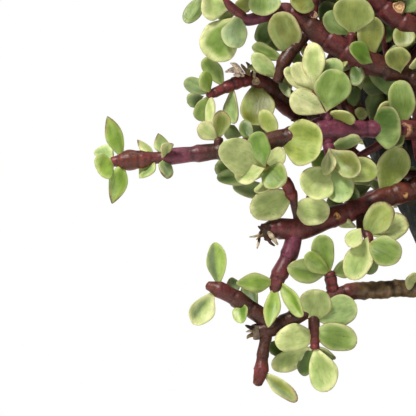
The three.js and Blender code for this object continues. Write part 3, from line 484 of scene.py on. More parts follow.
class Tree:
    """The plan of the whole tree: every stem's route and every leaf, by the solids' own rules."""

    def __init__(self):
        self.crowd, self.stems, self.leaves, self.pending = [], [], [], []
        self.draw = Draw(48271)
        self.front_limbs()
        self.crown_limbs()
        for leaf in self.pending:
            grown = leaf["facing"] is not None
            if grown:
                leaf["roll"] = self.roll_towards(leaf)
            if not grown or not self.in_open_air(leaf["tip"]):
                self.settle(leaf)
        self.solid_leaves = len(self.leaves)
        self.filling_sprays()

    def box_round(self, centre, axes, half, owner, spray):
        return {"centre": centre, "axes": axes, "half": half, "owner": owner, "spray": spray,
                "reach": math.sqrt(dot(half, half))}

    def add_stem(self, route, owner, bark=None, kind="twig"):
        self.stems.append({"route": route, "owner": owner, "bark": bark, "kind": kind})
        for a, b in zip(route, route[1:]):
            step = sub(b, a)
            axis = unit(step)
            side = side_of(axis)
            r = max(a[3], b[3])
            half = [math.sqrt(dot(step, step)) / 2, r, r]
            axes = [axis, side, cross(axis, side)]
            self.crowd.append(self.box_round(lerp(a, b, 0.5), axes, half, owner, "wood"))

    def leaf_box(self, leaf, tip):
        axis, side, out = leaf_frame(leaf["base"], tip, leaf["roll"])
        span = sub(tip, leaf["base"])
        length = math.sqrt(dot(span, span))
        start = add(leaf["base"], axis, length * 0.1)
        half = [length * 0.45, leaf["width"] * 0.5, LEAF_THICK * 0.4 + LEAF_CLEAR]
        return self.box_round(lerp(start, tip, 0.5), [axis, side, out], half, leaf["owner"], leaf["spray"])

    def settle(self, leaf, bends=BENDS):
        for bend in bends:
            tip = [leaf["tip"][0], leaf["tip"][1] + bend, leaf["tip"][2]]
            box = self.leaf_box(leaf, tip)
            if all((other["owner"] == leaf["owner"] and other["spray"] in ("wood", leaf["spray"]))
                   or boxes_apart(box, other) for other in self.crowd):
                self.crowd.append(box)
                self.leaves.append({**leaf, "tip": tip})
                return

    def plan_leaf(self, base, tip, width, roll, owner, spray, facing=None, look=None, lift=0):
        """Notes a leaf, to be settled once the wood stands. One that grows by rule faces some way."""
        self.pending.append({"base": base, "tip": tip, "width": width, "roll": roll, "owner": owner,
                             "spray": spray, "facing": facing, "look": look, "lift": lift})

    def front_limbs(self):
        self.limb_starts = []
        for name, (root, parts) in LIMBS.items():
            routes = {}
            for part, (parent, at, points, _) in parts.items():
                route = [seen(x, z, y) + [r] for x, z, y, r, _ in points]
                bark = [point[4] for point in points]
                if parent:
                    start = along(routes[parent], at)
                    route.insert(0, start[:3] + [route[0][3]])
                    bark.insert(0, bark[0])
                routes[part] = route
                self.add_stem(route, name, bark, part)
            self.limb_starts.append((root, routes["main"][0], routes["main"][1]))
            for part, (*_, leaves) in parts.items():
                for at, x, z, depth, width, roll, look in leaves:
                    base = root_on(routes[part], at)
                    lift = along(routes[part], at)[3] * sum(NEARER.get(letter, 0) for letter in look[2:])
                    self.plan_leaf(base, seen(x, z, base[1] + depth), width, roll, name, "hand",
                                   look=look, lift=lift)

    def add_stub(self, root, start, after):
        axis = unit(sub(after, start))
        end = add(start, axis, -GAP)
        self.trunk_routes.append([point + [start[3]] for point in (list(root), add(end, axis, -STUB), end)])

    def crown_limbs(self):
        self.trunk_routes = [TRUNK_STEM, SECOND_STEM]
        for root, start, after in self.limb_starts:
            self.add_stub(root, start, after)
        crown = []
        for clear, points in CROWN_LIMBS:
            start = add(points[0], unit(sub(points[1], points[0])), clear)
            route = [start + [points[0][3] * 0.5 + points[1][3] * 0.5], *[list(p) for p in points[1:]]]
            self.add_stub(points[0][:3], route[0], route[1])
            crown.append(route)
        for route in self.trunk_routes:
            self.add_stem(route, "trunk")
        self.crown_routes = crown
        for name, route in zip(CROWN_NAMES, crown):
            self.add_stem(route, name, kind="limb")
        for name, route in zip(CROWN_NAMES, crown):
            self.grow_spray(route[-1][:3], end_axis(route), route[-1][3], name, "end")
        for k, share in enumerate(SIDE_SPRAYS):
            for name, route in zip(CROWN_NAMES, crown):
                foot = along(route, share * (len(route) - 1))[:3]
                heading = self.openest(foot, end_axis(route))
                self.grow_spray(foot, heading, SPRAY["first"], name, f"side{k}")

    def crowding(self, point):
        """How crowded a point is by the wood so far.

        No shoot grows out of the crown or over the front left.
        """
        off = [(p - c) / reach for p, c, reach in zip(point, CROWN["centre"], CROWN["reach"])]
        if dot(off, off) > 1 or self.in_open_air(point):
            return math.inf
        starts = np.array([p[:3] for stem in self.stems for p in stem["route"][:-1]])
        steps = np.array([p[:3] for stem in self.stems for p in stem["route"][1:]]) - starts
        share = np.clip(((point - starts) * steps).sum(1) / (steps**2).sum(1), 0, 1)
        return (1 / ((point - starts - steps * share[:, None]) ** 2).sum(1)).sum()

    def openest(self, foot, axis):
        """The way round a limb in which a shoot finds the most open space."""
        best, least = axis, math.inf
        for turn in 2 * math.pi * np.arange(LOOK_ROUND["headings"]) / LOOK_ROUND["headings"]:
            out = outward(axis, turn)
            heading = unit(add(out, axis, LOOK_ROUND["forward"]))
            crowded = self.crowding(add(foot, heading, LOOK_ROUND["ahead"]))
            if crowded < least:
                best, least = heading, crowded
        return best

    def grow_spray(self, start, heading, radius, owner, spray, pairs=SPRAY["pairs"]):
        draw = self.draw
        direction = unit(heading)
        at = list(start)
        route = [at + [radius]]
        joints = []
        for i in range(pairs):
            sway = [draw() - 0.5, draw() - 0.5, draw() - 0.3]
            if i > 0:
                direction = unit(add(direction, sway, 0.5))
            at = add(at, direction, SPRAY["step"] * (0.85 + 0.3 * draw()))
            past = ROOT_SINK if i == pairs - 1 else 0
            thick = SPRAY["first"] + ((SPRAY["last"] - SPRAY["first"]) * (i + 1)) / pairs
            route.append(add(at, direction, past) + [thick])
            joints.append((at, direction))
        self.add_stem(route, owner)
        twist = draw() * math.pi
        for i, (place, ahead) in enumerate(joints):
            out = outward(ahead, twist + (i * math.pi) / 2)
            for sign in (1, -1):
                lean = unit(add(scaled(out, sign * SPRAY["spread"]), ahead, 0.75))
                size = SPRAY["leaf"] * (0.85 + 0.3 * draw())
                width = SPRAY["width"] * (0.85 + 0.3 * draw())
                self.plan_leaf(place, add(place, lean, size), width, 0, owner, spray, facing=ahead)

    def roll_towards(self, leaf):
        _, side, out = leaf_frame(leaf["base"], leaf["tip"], 0)
        return math.degrees(math.atan2(dot(leaf["facing"], side), dot(leaf["facing"], out)))

    def in_open_air(self, point):
        x, y, z = point
        front = x < OPEN_AIR["front"] and y < OPEN_AIR["depth"]
        return z < OPEN_AIR["top"] and (x < OPEN_AIR["right"] or front)

    def filling_sprays(self):
        """Shaded leaves and old shoots, then sprays between those of the solids.

        Each spray leaves its limb or stem at the golden angle from the one before.
        """
        self.pending = []
        for x, z, tip_x, tip_z, y, width, look in SHADED_LEAVES:
            self.plan_leaf(seen(x, z, y), seen(tip_x, tip_z, y - 3), width, 0, "filling", "shade", look=look)
        for leaf in self.pending:
            self.settle(leaf, (0, 3, -3, 6, -6, 9))
        self.pending = []
        for points in BACK_SHOOTS:
            self.add_stem([seen(x, z, y) + [r] for x, z, y, r in points], "filling")
        turn = 0.0
        spots = [(route, share * (len(route) - 1)) for route in self.crown_routes
                 for share in np.linspace(*FILLING["shares"], FILLING["count"])]
        for route, span in ((TRUNK_STEM, FILLING["trunk"]), (SECOND_STEM, FILLING["second"])):
            spots += [(route, at) for at in np.arange(*span, FILLING["apart"])]
        for n, (route, at) in enumerate(spots):
            turn += GOLDEN
            foot = along(route, at)[:3]
            axis = unit(sub(route[min(int(at) + 1, len(route) - 1)], route[int(at)]))
            heading = add(add(outward(axis, turn), axis, 0.5), [0, 0, 1], 0.25)
            tip = add(foot, unit(heading), FILLING["reach"])
            if not (self.in_open_air(tip) or self.in_open_air(foot)) and self.in_reach(tip):
                self.grow_spray(foot, heading, SPRAY["first"], "filling", f"filling{n}", FILLING["pairs"])
        self.grow_behind()
        for leaf in self.pending:
            leaf["roll"] = self.roll_towards(leaf)
            shaded = leaf["look"] is not None
            clear = self.behind_front(leaf) if shaded else not self.in_open_air(leaf["tip"])
            if clear and self.in_reach(leaf["tip"]):
                self.settle(leaf, (0, 3, -3, 6))

    def grow_behind(self):
        """Short sprays that lean back from the front limbs, with shaded leaves whose darker looks are painted
        shade.
        """
        turn = 0.0
        for name, first, last, count in BEHIND:
            route = next(stem["route"] for stem in stems_of(self, name) if stem["kind"] == "main")
            for n, at in enumerate(np.linspace(first, last, count)):
                turn += GOLDEN
                heading = [math.cos(turn), 0.55, math.sin(turn)]
                before = len(self.pending)
                self.grow_spray(along(route, at)[:3], heading, 2.2, "filling", f"{name}{n}", 3)
                for leaf in self.pending[before:]:
                    leaf["look"] = SHADED_LOOKS[int(self.draw() * len(SHADED_LOOKS))]

    def behind_front(self, leaf):
        """Whether a leaf stands behind the front limbs, above the lowest of them, and clear of the gaps."""
        for share in (0.35, 0.7, 1.0):
            x, y, z = lerp(leaf["base"], leaf["tip"], share)
            room = leaf["width"] * 0.45
            left = SHADE["left"][z >= SHADE["over"]]
            if x - room < left or z - room < SHADE["low"] or y < SHADE["front"]:
                return False
            if any(x0 - room < x < x1 + room and z0 - room < z < z1 + room for x0, z0, x1, z1 in CLEAR_VIEWS):
                return False
        return True

    def in_reach(self, point):
        """Whether a point is inside the box that the solids take up."""
        spare = FILLING["spare"]
        return all(low / MM - spare < p < high / MM + spare for p, low, high in zip(point, *CAD_BOX))


def stems_of(tree, owner):
    return [stem for stem in tree.stems if stem["owner"] == owner]


def leaves_of(tree, owner):
    """The leaves of one limb of the solids."""
    return [leaf for leaf in tree.leaves[:tree.solid_leaves] if leaf["owner"] == owner]


# Surfaces

def linear(hexa):
    """An sRGB hex colour as linear red, green, blue and 1."""
    parts = [int(hexa[i:i + 2], 16) / 255 for i in (0, 2, 4)]
    return tuple(c / 12.92 if c <= 0.04045 else ((c + 0.055) / 1.055) ** 2.4 for c in parts) + (1.0,)


def waves(a, b, wrap, seed):
    """Smooth noise from -1 to 1 on arrays a and b, which repeats every `wrap` cells of b.

    Each cell's corners hold random values, eased between with 3t² - 2t³ both ways.
    """
    rows = 4096
    grid = np.random.default_rng(seed).uniform(-1, 1, (rows, wrap))
    ia, ib = np.floor(a).astype(int), np.floor(b).astype(int)
    fa, fb = a - ia, b - ib
    fa, fb = fa * fa * (3 - 2 * fa), fb * fb * (3 - 2 * fb)
    low = grid[ia % rows, ib % wrap] * (1 - fb) + grid[ia % rows, (ib + 1) % wrap] * fb
    high = grid[(ia + 1) % rows, ib % wrap] * (1 - fb) + grid[(ia + 1) % rows, (ib + 1) % wrap] * fb
    return low * (1 - fa) + high * fa


def circle(sides):
    """So many angles, evenly round a circle."""
    return np.linspace(0, 2 * math.pi, sides, endpoint=False)


def ring_faces(rings, sides):
    """Quads between closed rings of points, and triangles to one pole point at each end.

    Points are numbered ring by ring, and the two poles last.
    """
    ring, k = np.meshgrid(np.arange(rings - 1), np.arange(sides), indexing="ij")
    a, b = ring * sides + k, ring * sides + (k + 1) % sides
    quads = np.stack([a, b, b + sides, a + sides], -1).reshape(-1, 4)
    k = np.arange(sides)
    after, tail, pole = (k + 1) % sides, (rings - 1) * sides, np.full(sides, rings * sides)
    tris = np.concatenate([np.stack([pole, after, k], -1), np.stack([pole + 1, tail + k, tail + after], -1)])
    return quads, tris


def add_object(name, data):
    """A new object in the scene that shows the given data."""
    made = bpy.data.objects.new(name, data)
    bpy.context.collection.objects.link(made)
    return made


class Sheaf:
    """Surfaces gathered into one piece: points in millimetres, faces and values on the points."""

    def __init__(self):
        self.points, self.quads, self.tris, self.layers, self.count = [], [], [], {}, 0

    def put(self, points, faces, inward=False, **layers):
        """Adds points in rings, with their faces and a value or colour for each point."""
        quads, tris = (f[:, ::-1] if inward else f for f in faces)
        self.points.append(points)
        self.quads.append(quads + self.count)
        self.tris.append(tris + self.count)
        for name, values in layers.items():
            values = np.asarray(values, float)
            shape = (len(points), 4) if values.shape[-1:] == (4,) else (len(points),)
            self.layers.setdefault(name, []).append(np.broadcast_to(values, shape))
        self.count += len(points)

    def build(self, name, material, slot, *nodes):
        """Makes the mesh and its object, which rides on the tree and stands for the given solids."""
        quads, tris = np.concatenate(self.quads), np.concatenate(self.tris)
        corners = np.concatenate([quads.ravel(), tris.ravel()]).astype(np.int32)
        starts = np.concatenate([np.arange(len(quads)) * 4, quads.size + np.arange(len(tris)) * 3])
        mesh = bpy.data.meshes.new(name)
        mesh.vertices.add(self.count)
        mesh.loops.add(len(corners))
        mesh.polygons.add(len(starts))
        mesh.vertices.foreach_set("co", np.concatenate(self.points).ravel() * MM)
        mesh.loops.foreach_set("vertex_index", corners)
        mesh.polygons.foreach_set("loop_start", starts.astype(np.int32))
        mesh.polygons.foreach_set("use_smooth", np.ones(len(starts), bool))
        mesh.update(calc_edges=True)
        for layer, values in self.layers.items():
            values = np.concatenate(values)
            colours = values.ndim == 2
            made = mesh.attributes.new(layer, "FLOAT_COLOR" if colours else "FLOAT", "POINT")
            made.data.foreach_set("color" if colours else "value", values.ravel())
        mesh.materials.append(material)
        piece = add_object(name, mesh)
        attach(piece, "root")
        if nodes:
            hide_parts(*nodes)


def smooth_route(route, step):
    """A Catmull-Rom curve through a route's points, with the radius eased from point to point.

    Each row is x, y, z, radius and the position along the route.
    """
    points = np.array([p[:4] for p in route], float)
    ends = np.vstack([2 * points[0] - points[1], points, 2 * points[-1] - points[-2]])
    rows = []
    for i in range(len(points) - 1):
        p0, p1, p2, p3 = ends[i:i + 4]
        count = max(2, int(np.linalg.norm(p2[:3] - p1[:3]) / step))
        t = np.linspace(0, 1, count, endpoint=False)[:, None]
        curve = 0.5 * (2 * p1 + (p2 - p0) * t + (2 * p0 - 5 * p1 + 4 * p2 - p3) * t**2
                       + (3 * p1 - p0 - 3 * p2 + p3) * t**3)
        curve[:, 3:] = p1[3] + (p2[3] - p1[3]) * t * t * (3 - 2 * t)
        rows.append(np.hstack([curve, i + t]))
    rows.append(np.append(points[-1], len(points) - 1.0)[None])
    return np.vstack(rows)


class Stem:
    """Rings of points round a smooth route, and what stands on them."""

    def __init__(self, route, step, sides):
        line = smooth_route(route, step)
        self.centre, self.radius, self.place = line[:, :3], line[:, 3], line[:, 4]
        gaps = np.linalg.norm(np.diff(self.centre, axis=0), axis=1)
        self.run = np.concatenate([[0], np.cumsum(gaps)])
        self.sides = sides
        self.theta = circle(sides)
        ahead = np.gradient(self.centre, axis=0)
        ahead /= np.linalg.norm(ahead, axis=1)[:, None]
        self.across = np.empty_like(ahead)
        side = np.array(side_of(list(ahead[0])))
        for i, axis in enumerate(ahead):
            side = side - axis * side.dot(axis)
            side /= np.linalg.norm(side)
            self.across[i] = side
        self.other = np.cross(ahead, self.across)

    def tones(self, bark):
        """The bark colour at each ring, blended between the route's points."""
        keys = np.array([linear(BARK[b]) for b in bark])
        low = np.clip(np.floor(self.place).astype(int), 0, len(keys) - 2)
        k = (self.place - low)[:, None]
        k = k * k * (3 - 2 * k)
        return keys[low] * (1 - k) + keys[low + 1] * k

    def put(self, sheaf, wall, tone):
        """Puts the wall's rings into the sheaf, rounded off at both ends."""
        left = np.minimum(self.run, self.run[-1] - self.run)
        dome = np.sqrt(np.clip(1 - (1 - np.clip(left / (0.45 * self.radius), 0, 1)) ** 2, 0.16, 1))
        wall = (wall * dome[:, None])[..., None]
        turn = self.theta[None, :, None]
        round_it = np.cos(turn) * self.across[:, None] + np.sin(turn) * self.other[:, None]
        points = self.centre[:, None] + wall * round_it
        points = np.vstack([points.reshape(-1, 3), self.centre[0], self.centre[-1]])
        tone = np.vstack([tone.reshape(-1, 4), tone[0, 0], tone[-1, 0]])
        tone[:, 3] = 1
        sheaf.put(points, ring_faces(len(self.run), self.sides), tone=tone)


def shoot(sheaf, route, bark, seed, sides=14, step=0.9):
    """A young shoot: circles along a curve, with a raised joint ring wherever leaves once stood.

    The radius is the route's own, widening a little from one ring to the next, plus a narrow bell
    curve at each ring, slow lumps and fine wrinkles along it. Rings are as far apart as the bark
    says. The dark line beside each ring is a narrow bell curve too.
    """
    stem = Stem(route, step, sides)
    spacing = np.array([RING_SPACING[b] for b in bark])[np.round(stem.place).astype(int)]
    count = np.concatenate([[0], np.cumsum(np.diff(stem.run) / spacing[1:])])
    count += 0.5 * waves(stem.run / 13, stem.run * 0, 4, seed)
    phase = count % 1.0
    width = 0.7 / spacing
    rough = np.interp(stem.place, np.arange(len(bark)), [ROUGHNESS.get(b, 0) for b in bark])[:, None]
    rings = np.exp(-((phase - 0.5) / width) ** 2) * np.minimum(0.12, stem.radius * 0.03)
    run, turns = np.meshgrid(stem.run, stem.theta / (2 * math.pi), indexing="ij")
    lumps = waves(run / 4.5, turns * 6, 6, seed + 1)
    wrinkle = waves(run / 7, turns * 16, 16, seed + 2)
    share = (phase + 0.5) % 1.0
    swell = np.minimum(share / 0.88, (1 - share) / 0.12) - 0.5
    knobs = waves(run / 2.3, turns * 9, 9, seed + 3)
    ridge = (0.03 + 0.05 * rough) * lumps + (0.012 + 0.03 * rough) * wrinkle + 0.09 * rough * knobs
    wall = stem.radius[:, None] * (1 + ridge + (0.16 - 0.07 * rough) * swell[:, None]) + rings[:, None]
    broken = 0.75 + 0.5 * waves(run / 30, turns * 3, 3, seed + 4)
    line = np.exp(-((phase - 0.5 - 1.2 * width) / (0.75 * width)) ** 2)[:, None]
    line = line * broken.clip(0.4, 1) * (1 - 0.5 * rough)
    # Tone follows the lumps, wrinkles and knobs of the wall: partly the skin's own mottling, partly painted
    # light, lighter where it bulges and darker in its dips
    mottle_and_bulge_light = 1 + 0.14 * lumps + 0.2 * wrinkle + 0.6 * rough * knobs
    tone = stem.tones(bark)[:, None] * ((1 - 0.8 * line) * mottle_and_bulge_light.clip(0.3, 2))[..., None]
    stem.put(sheaf, wall, tone)


def twig_bark(route):
    """Dark at the foot, maroon along the way and red at the young end."""
    return "D" + "M" * (len(route) - 2) + "R"


def old_wood(sheaf, route, bark, seed, sides=48, step=1.6, furrow=0.06, flare=0.0):
    """Old wood: circles along a curve with furrows along it and flakes across it.

    The radius gets ridges from noise stretched along the stem, finer flakes and, at the foot,
    five rounded lobes where the roots spread. Ridges are paler than furrows.
    """
    stem = Stem(route, step, sides)
    run, turn = np.meshgrid(stem.run, stem.theta, indexing="ij")
    turns = turn / (2 * math.pi) + waves(run / 30, turn * 5 / (2 * math.pi), 5, seed) * 0.12
    ridge = 1 - np.abs(waves(run / 26, turns * 11, 11, seed + 1)) * 2
    flake = waves(run / 5.5, turns * 22, 22, seed + 2)
    broad = waves(run / 42, turns * 3, 3, seed + 3)
    wall = stem.radius[:, None] * (1 + furrow * (0.6 * ridge + 0.35 * flake) + 0.07 * broad)
    wall += flare * np.exp(-run / 12) * (0.5 + 0.5 * np.cos(5 * turn + 0.7))
    tone = stem.tones(bark)[:, None] * (0.8 + 0.4 * ridge + 0.15 * flake).clip(0.35, 1.6)[..., None]
    stem.put(sheaf, wall, tone)


def leaf_forms(leaves, looks, whim, detail):
    """The points of leaves, and what their tones depend on.

    A leaf is closed rings along its midrib, as wide as a power of a quarter sine from the stalk to
    about 0.6 of its length, 0.52 in a round leaf, then as a quarter of a superellipse to the tip,
    with a rounded rim. It is cupped by the square of the distance from the midrib, folded by the
    distance itself, curled by u² - u along its length, turned up or down at the tip, and dimpled by a
    few slow waves.
    """
    rings, sides = detail
    lift = np.array([(0, leaf["lift"], 0) for leaf in leaves])
    base = np.array([leaf["base"] for leaf in leaves]) - lift
    tip = np.array([leaf["tip"] for leaf in leaves]) - lift * 0.5
    frames = [leaf_frame(leaf["base"], leaf["tip"], leaf["roll"]) for leaf in leaves]
    axis, side, out = (np.array([f[i] for f in frames])[:, None] for i in range(3))
    length = np.linalg.norm(tip - base, axis=1)[:, None]
    wider = np.array([WIDER if "u" in look[2:] else 1 for look in looks])
    half = (np.array([leaf["width"] for leaf in leaves]) * wider)[:, None] / 2
    cup, fold, point, ball = (np.array([LEAF_FORMS[look[1]][i] for look in looks])[:, None] for i in range(4))

    # Points by share of the length and turn round the leaf, closest at stalk and tip, then two poles
    u = np.linspace(0, 1, rings + 2)[1:-1]
    u = 0.35 * u + 0.65 * (1 - np.cos(u * math.pi)) / 2
    uu, vv = np.meshgrid(u, circle(sides), indexing="ij")
    uu, vv = np.append(uu, (0.0, 1.0)), np.append(vv, (0.0, 0.0))
    # Outline and thickness, as shares of the most
    peak = 0.6 + 0.06 * whim[:, :1] * (1 - ball) - 0.08 * point - 0.08 * ball
    taper = 1.3 + 0.2 * whim[:, 1:2] * (1 - ball) - 0.68 * ball
    rise = np.sin(np.clip(uu / peak, 0, 1) * math.pi / 2) ** taper
    reach = np.clip(uu - peak, 0, 1) / (1 - peak)
    fall = np.clip(1 - reach ** (2.2 - 0.7 * point), 0, 1) ** (0.5 + 0.3 * point)
    wide = np.where(uu < peak, rise, fall)
    deep = np.sqrt(np.clip((1 - uu) / 0.07, 0, 1)) * (1 - 0.3 * uu) * np.minimum(1, uu / 0.03 + 0.02)
    across = np.sign(np.cos(vv)) * np.abs(np.cos(vv)) ** 0.92
    up = np.sign(np.sin(vv)) * np.abs(np.sin(vv)) ** 0.66

    # Across the leaf and out of its face: flesh, cup and fold, curl, turned tip, two dimpling waves
    y = half * wide * across * (1 + 0.05 * np.sin(uu * 9 + whim[:, 9:10] * 6 + 2 * across))
    z = LEAF_THICK / 2 * 0.92 * deep * up * np.clip(0.35 + wide, 0, 1)
    z = z + (cup + 0.16 * whim[:, 2:3]) * y**2 / half + fold * (np.sqrt(y**2 + 0.5) - 0.35 * half)
    z = z + 0.16 * whim[:, 3:4] * length * (uu**2 - uu)
    z = z + (0.05 + 0.09 * whim[:, 9:10]) * length * np.clip(uu - 0.55, 0, 1) ** 2 * 4
    z = z + 0.28 * np.sin(uu * 7 + whim[:, 4:5] * 3 + across * 2.2) * wide
    z = z + 0.13 * np.sin(across * 5 + uu * 4 + whim[:, 5:6] * 6) * wide
    y = y + 0.1 * whim[:, 6:7] * half * np.sin(uu * math.pi)
    points = base[:, None] + (uu * length)[..., None] * axis + y[..., None] * side + z[..., None] * out
    return points, (uu, vv, across, y, wide, half, length)


def leaf_tones(looks, whim, form, seed, palette):
    """The tones of flesh and margin on the points of leaves, and where the finish is to lay them.

    Flesh is darker near the stalk, partly as painted shade, and streaks of cream and of dark green run along
    it; one side is painted darker and the other paler, as painted shade and light. Its fourth value is
    how scorched it is. `edge` is the distance in millimetres inside the pale margin.
    """
    uu, vv, across, y, wide, half, length = form
    names, shares, widths = zip(*[LEAF_COLOURS[look[0]] for look in looks])
    flesh = np.array([palette[name] for name in names])
    cream = np.array(palette["cream"])
    shares = np.array(shares)[:, None]
    margin = flesh * (1 - shares) + cream * shares
    shade = 1 + 0.09 * whim[:, 7:8]
    scorched = np.array([["t" in look] for look in looks])
    scorch = np.array([1.0 if "t" in look else 0.55 if "r" in look else 0.2 for look in looks])[:, None]
    blush = np.where(scorched, np.clip((uu - 0.55) / 0.3, 0, 1), 1.0)
    rim = np.minimum((1 - np.abs(across)) * wide * half, (1 - uu) * length * 0.8)
    edge = rim - np.array(widths)[:, None] * (1 + 0.4 * whim[:, 8:9] + 0.8 * across * whim[:, 6:7])
    flesh = np.repeat((flesh * shade)[:, None], len(uu), 1)
    # Streaks along the flesh, then painted shade and painted light: a darker and a paler side, running across
    # each leaf its own way and broken by the streaks
    streak = waves(uu * 2.4 + 7.3 * whim[:, :1], across * 2.2 + 40 + 9 * whim[:, 1:2], 64, seed)
    shade_and_light_slant = whim[:, 10:11] * across + whim[:, 11:] * (2 * uu - 1) + 0.6 * streak
    for name, part in (("celery", np.clip(streak - 0.15, 0, 1) * 0.5),
                       ("dark", np.clip(-0.2 - streak, 0, 1) * 0.35),
                       ("dark", np.clip(-shade_and_light_slant - 0.15, 0, 1) * 0.42),
                       ("pale", np.clip(shade_and_light_slant, 0, 1) * 0.55)):
        flesh = flesh + part[..., None] * (np.array(palette[name]) - flesh)
    under = np.sin(vv) < -0.2
    flesh[:, under] = flesh[:, under] * 0.55 + np.array(palette["grey"]) * 0.45
    # Leaves with one half of another tone
    for letter, name, sign in (("h", "celery", 1), ("k", "grey", 1), ("m", "grey", -1)):
        chosen = np.array([letter in look[2:] for look in looks])[:, None]
        half_way = chosen * np.clip(sign * across * 6, 0, 1)
        flesh = flesh + half_way[..., None] * (np.array(palette[name]) - flesh)
    # Darker towards the stalk: partly the leaf's own deeper green, partly painted shade where the leaves
    # crowd round the stem
    flesh = flesh * (1 - 0.2 * np.clip(1 - uu / 0.45, 0, 1) * (0.6 + 0.4 * whim[:, 4:5]))[..., None]
    stalk = (0.55 * np.clip(1 - uu / 0.16, 0, 1))[None, :, None]
    flesh = flesh + stalk * (np.array(palette["stalk"]) - flesh)
    flesh[..., 3] = scorch * blush * np.clip(1 - rim / np.where(scorched, 1.8, 0.9), 0, 1)
    margin = np.repeat((margin * shade)[:, None], len(uu), 1)
    margin[..., 3] = 1
    # Where the finish reads its blotches: drawn out along the leaf, and elsewhere for each leaf
    place = np.stack([uu * length, y * 4, 11 * np.arange(len(looks))[:, None] + 0 * y, 1 + 0 * y], -1) * MM
    return {"flesh": flesh.reshape(-1, 4), "margin": margin.reshape(-1, 4), "edge": edge.ravel(),
            "place": place.reshape(-1, 4)}


def leaf_surfaces(sheaf, leaves, detail, seed, palette):
    """Fleshy leaves, all at once. Twelve whims make each one's form and tone its own."""
    rng = np.random.default_rng(seed)
    whim = rng.uniform(-1, 1, (len(leaves), 12))
    looks = [leaf["look"] or FREE_LOOKS[rng.integers(len(FREE_LOOKS))] for leaf in leaves]
    points, form = leaf_forms(leaves, looks, whim, detail)
    quads, tris = ring_faces(*detail)
    shift = (np.arange(len(leaves)) * points.shape[1])[:, None, None]
    faces = (quads + shift).reshape(-1, 4), (tris + shift).reshape(-1, 3)
    tones = leaf_tones(looks, whim, form, seed, palette)
    sheaf.put(points.reshape(-1, 3), faces, inward=True, **tones)


def healed_cut(sheaf, centre, towards, radius, tone):
    """A healed cut: rings round an axis, with a raised collar round a sunken, cracked middle.

    The height is 0.35 of the radius at the collar, falls to a tenth inside it, and to below the
    bark outside it.
    """
    axis = np.array(unit(towards))
    side = np.array(side_of(list(axis)))
    other = np.cross(axis, side)
    reach = np.array([1.15, 1.1, 1.0, 0.86, 0.72, 0.5, 0.25])
    height = np.array([-0.7, 0.0, 0.28, 0.34, 0.16, 0.08, 0.12])
    sides = 20
    theta = circle(sides)
    uneven = 1 + 0.1 * np.sin(3 * theta + radius * 7) + 0.06 * np.sin(7 * theta)
    r = radius * reach[:, None] * uneven
    h = radius * (height[:, None] + 0.05 * np.sin(5 * theta + reach[:, None] * 9))
    round_it = np.cos(theta)[:, None] * side + np.sin(theta)[:, None] * other
    points = np.array(centre) + r[..., None] * round_it
    points = (points + h[..., None] * axis).reshape(-1, 3)
    points = np.vstack([points, centre - axis * radius * 0.7, centre + axis * radius * 0.1])
    # Each ring's tone is scaled to its place on the relief: painted highlight on the collar's crest, painted
    # shade on the slope into the hollow and where the rim dips under the bark, and the middle paler
    light = np.array([0.7, 0.8, 1.0, 1.15, 0.6, 1.0, 1.2])
    colours = np.repeat(light, sides)[:, None] * np.array(linear(tone))
    colours = np.vstack([colours, linear(tone), linear(tone)])
    sheaf.put(points, ring_faces(len(reach), sides), tone=colours)


def lathe(profile, centre, squash, sides, bumps):
    """A profile of (radius, height) carried round an oval, with slow bumps in its radius."""
    line = smooth_route([(r, 0, z, 1) for r, z in profile], 1.6)
    theta = circle(sides)
    r, turn = np.meshgrid(line[:, 0], theta, indexing="ij")
    z = np.repeat(line[:, 2:3], sides, axis=1)
    r = r + bumps * waves(z / 7, turn * 24 / (2 * math.pi), 24, 5)
    points = np.stack([centre[0] + r * np.cos(turn), centre[1] + r * np.sin(turn) * squash, z], -1)
    poles = [(centre[0], centre[1], profile[0][1]), (centre[0], centre[1], profile[-1][1])]
    return np.vstack([points.reshape(-1, 3), poles]), ring_faces(len(line), sides)


# Finishes

# What a Mix node is set to, to lay one colour over another or to tint it
OVER = {"data_type": "RGBA"}
TINT = {"data_type": "RGBA", "blend_type": "MULTIPLY"}


def node(tree, kind, inputs=(), stops=(), out=None, **settings):
    """Adds a node with its settings and gives back one output: the named one or the first in use.

    Inputs are values or other outputs, by name or in order: a noise has where, scale, detail and
    roughness, and a MapRange a value, the range it comes from and the range it goes to. Stops are a
    ramp's places and colours.
    """
    made = tree.nodes.new("ShaderNode" + kind)
    for name, value in settings.items():
        setattr(made, name, value)
    live = [socket for socket in made.inputs if socket.enabled]
    if isinstance(inputs, dict):
        live = [next(socket for socket in live if socket.name == name) for name in inputs]
        inputs = inputs.values()
    for socket, value in zip(live, inputs):
        if isinstance(value, bpy.types.NodeSocket):
            tree.links.new(value, socket)
        else:
            socket.default_value = value
    for i, (place, colour) in enumerate(stops):
        bar = made.color_ramp.elements
        element = bar[i] if i < 2 else bar.new(place)
        element.position = place
        element.color = linear(colour) if isinstance(colour, str) else (colour, colour, colour, 1)
    return next(socket for socket in made.outputs if socket.enabled and out in (None, socket.name))


def finish(name, ior, **values):
    """A new material with the values that are the same all over it, and its Object coordinates."""
    material = bpy.data.materials.new(name)
    material.use_nodes = True
    tree = material.node_tree
    shader = tree.nodes["Principled BSDF"]
    shader.inputs["IOR"].default_value = ior
    for key, value in values.items():
        shader.inputs[key.replace("_", " ")].default_value = value
    return material, tree, shader.inputs, node(tree, "TexCoord", out="Object")


def dress(tree, sockets, **outputs):
    """Leads outputs into the shader's sockets."""
    for name, output in outputs.items():
        tree.links.new(output, sockets[name.replace("_", " ")])


def per_mm(size):
    """The noise scale whose blobs are about `size` millimetres across."""
    return 1 / (size * MM)


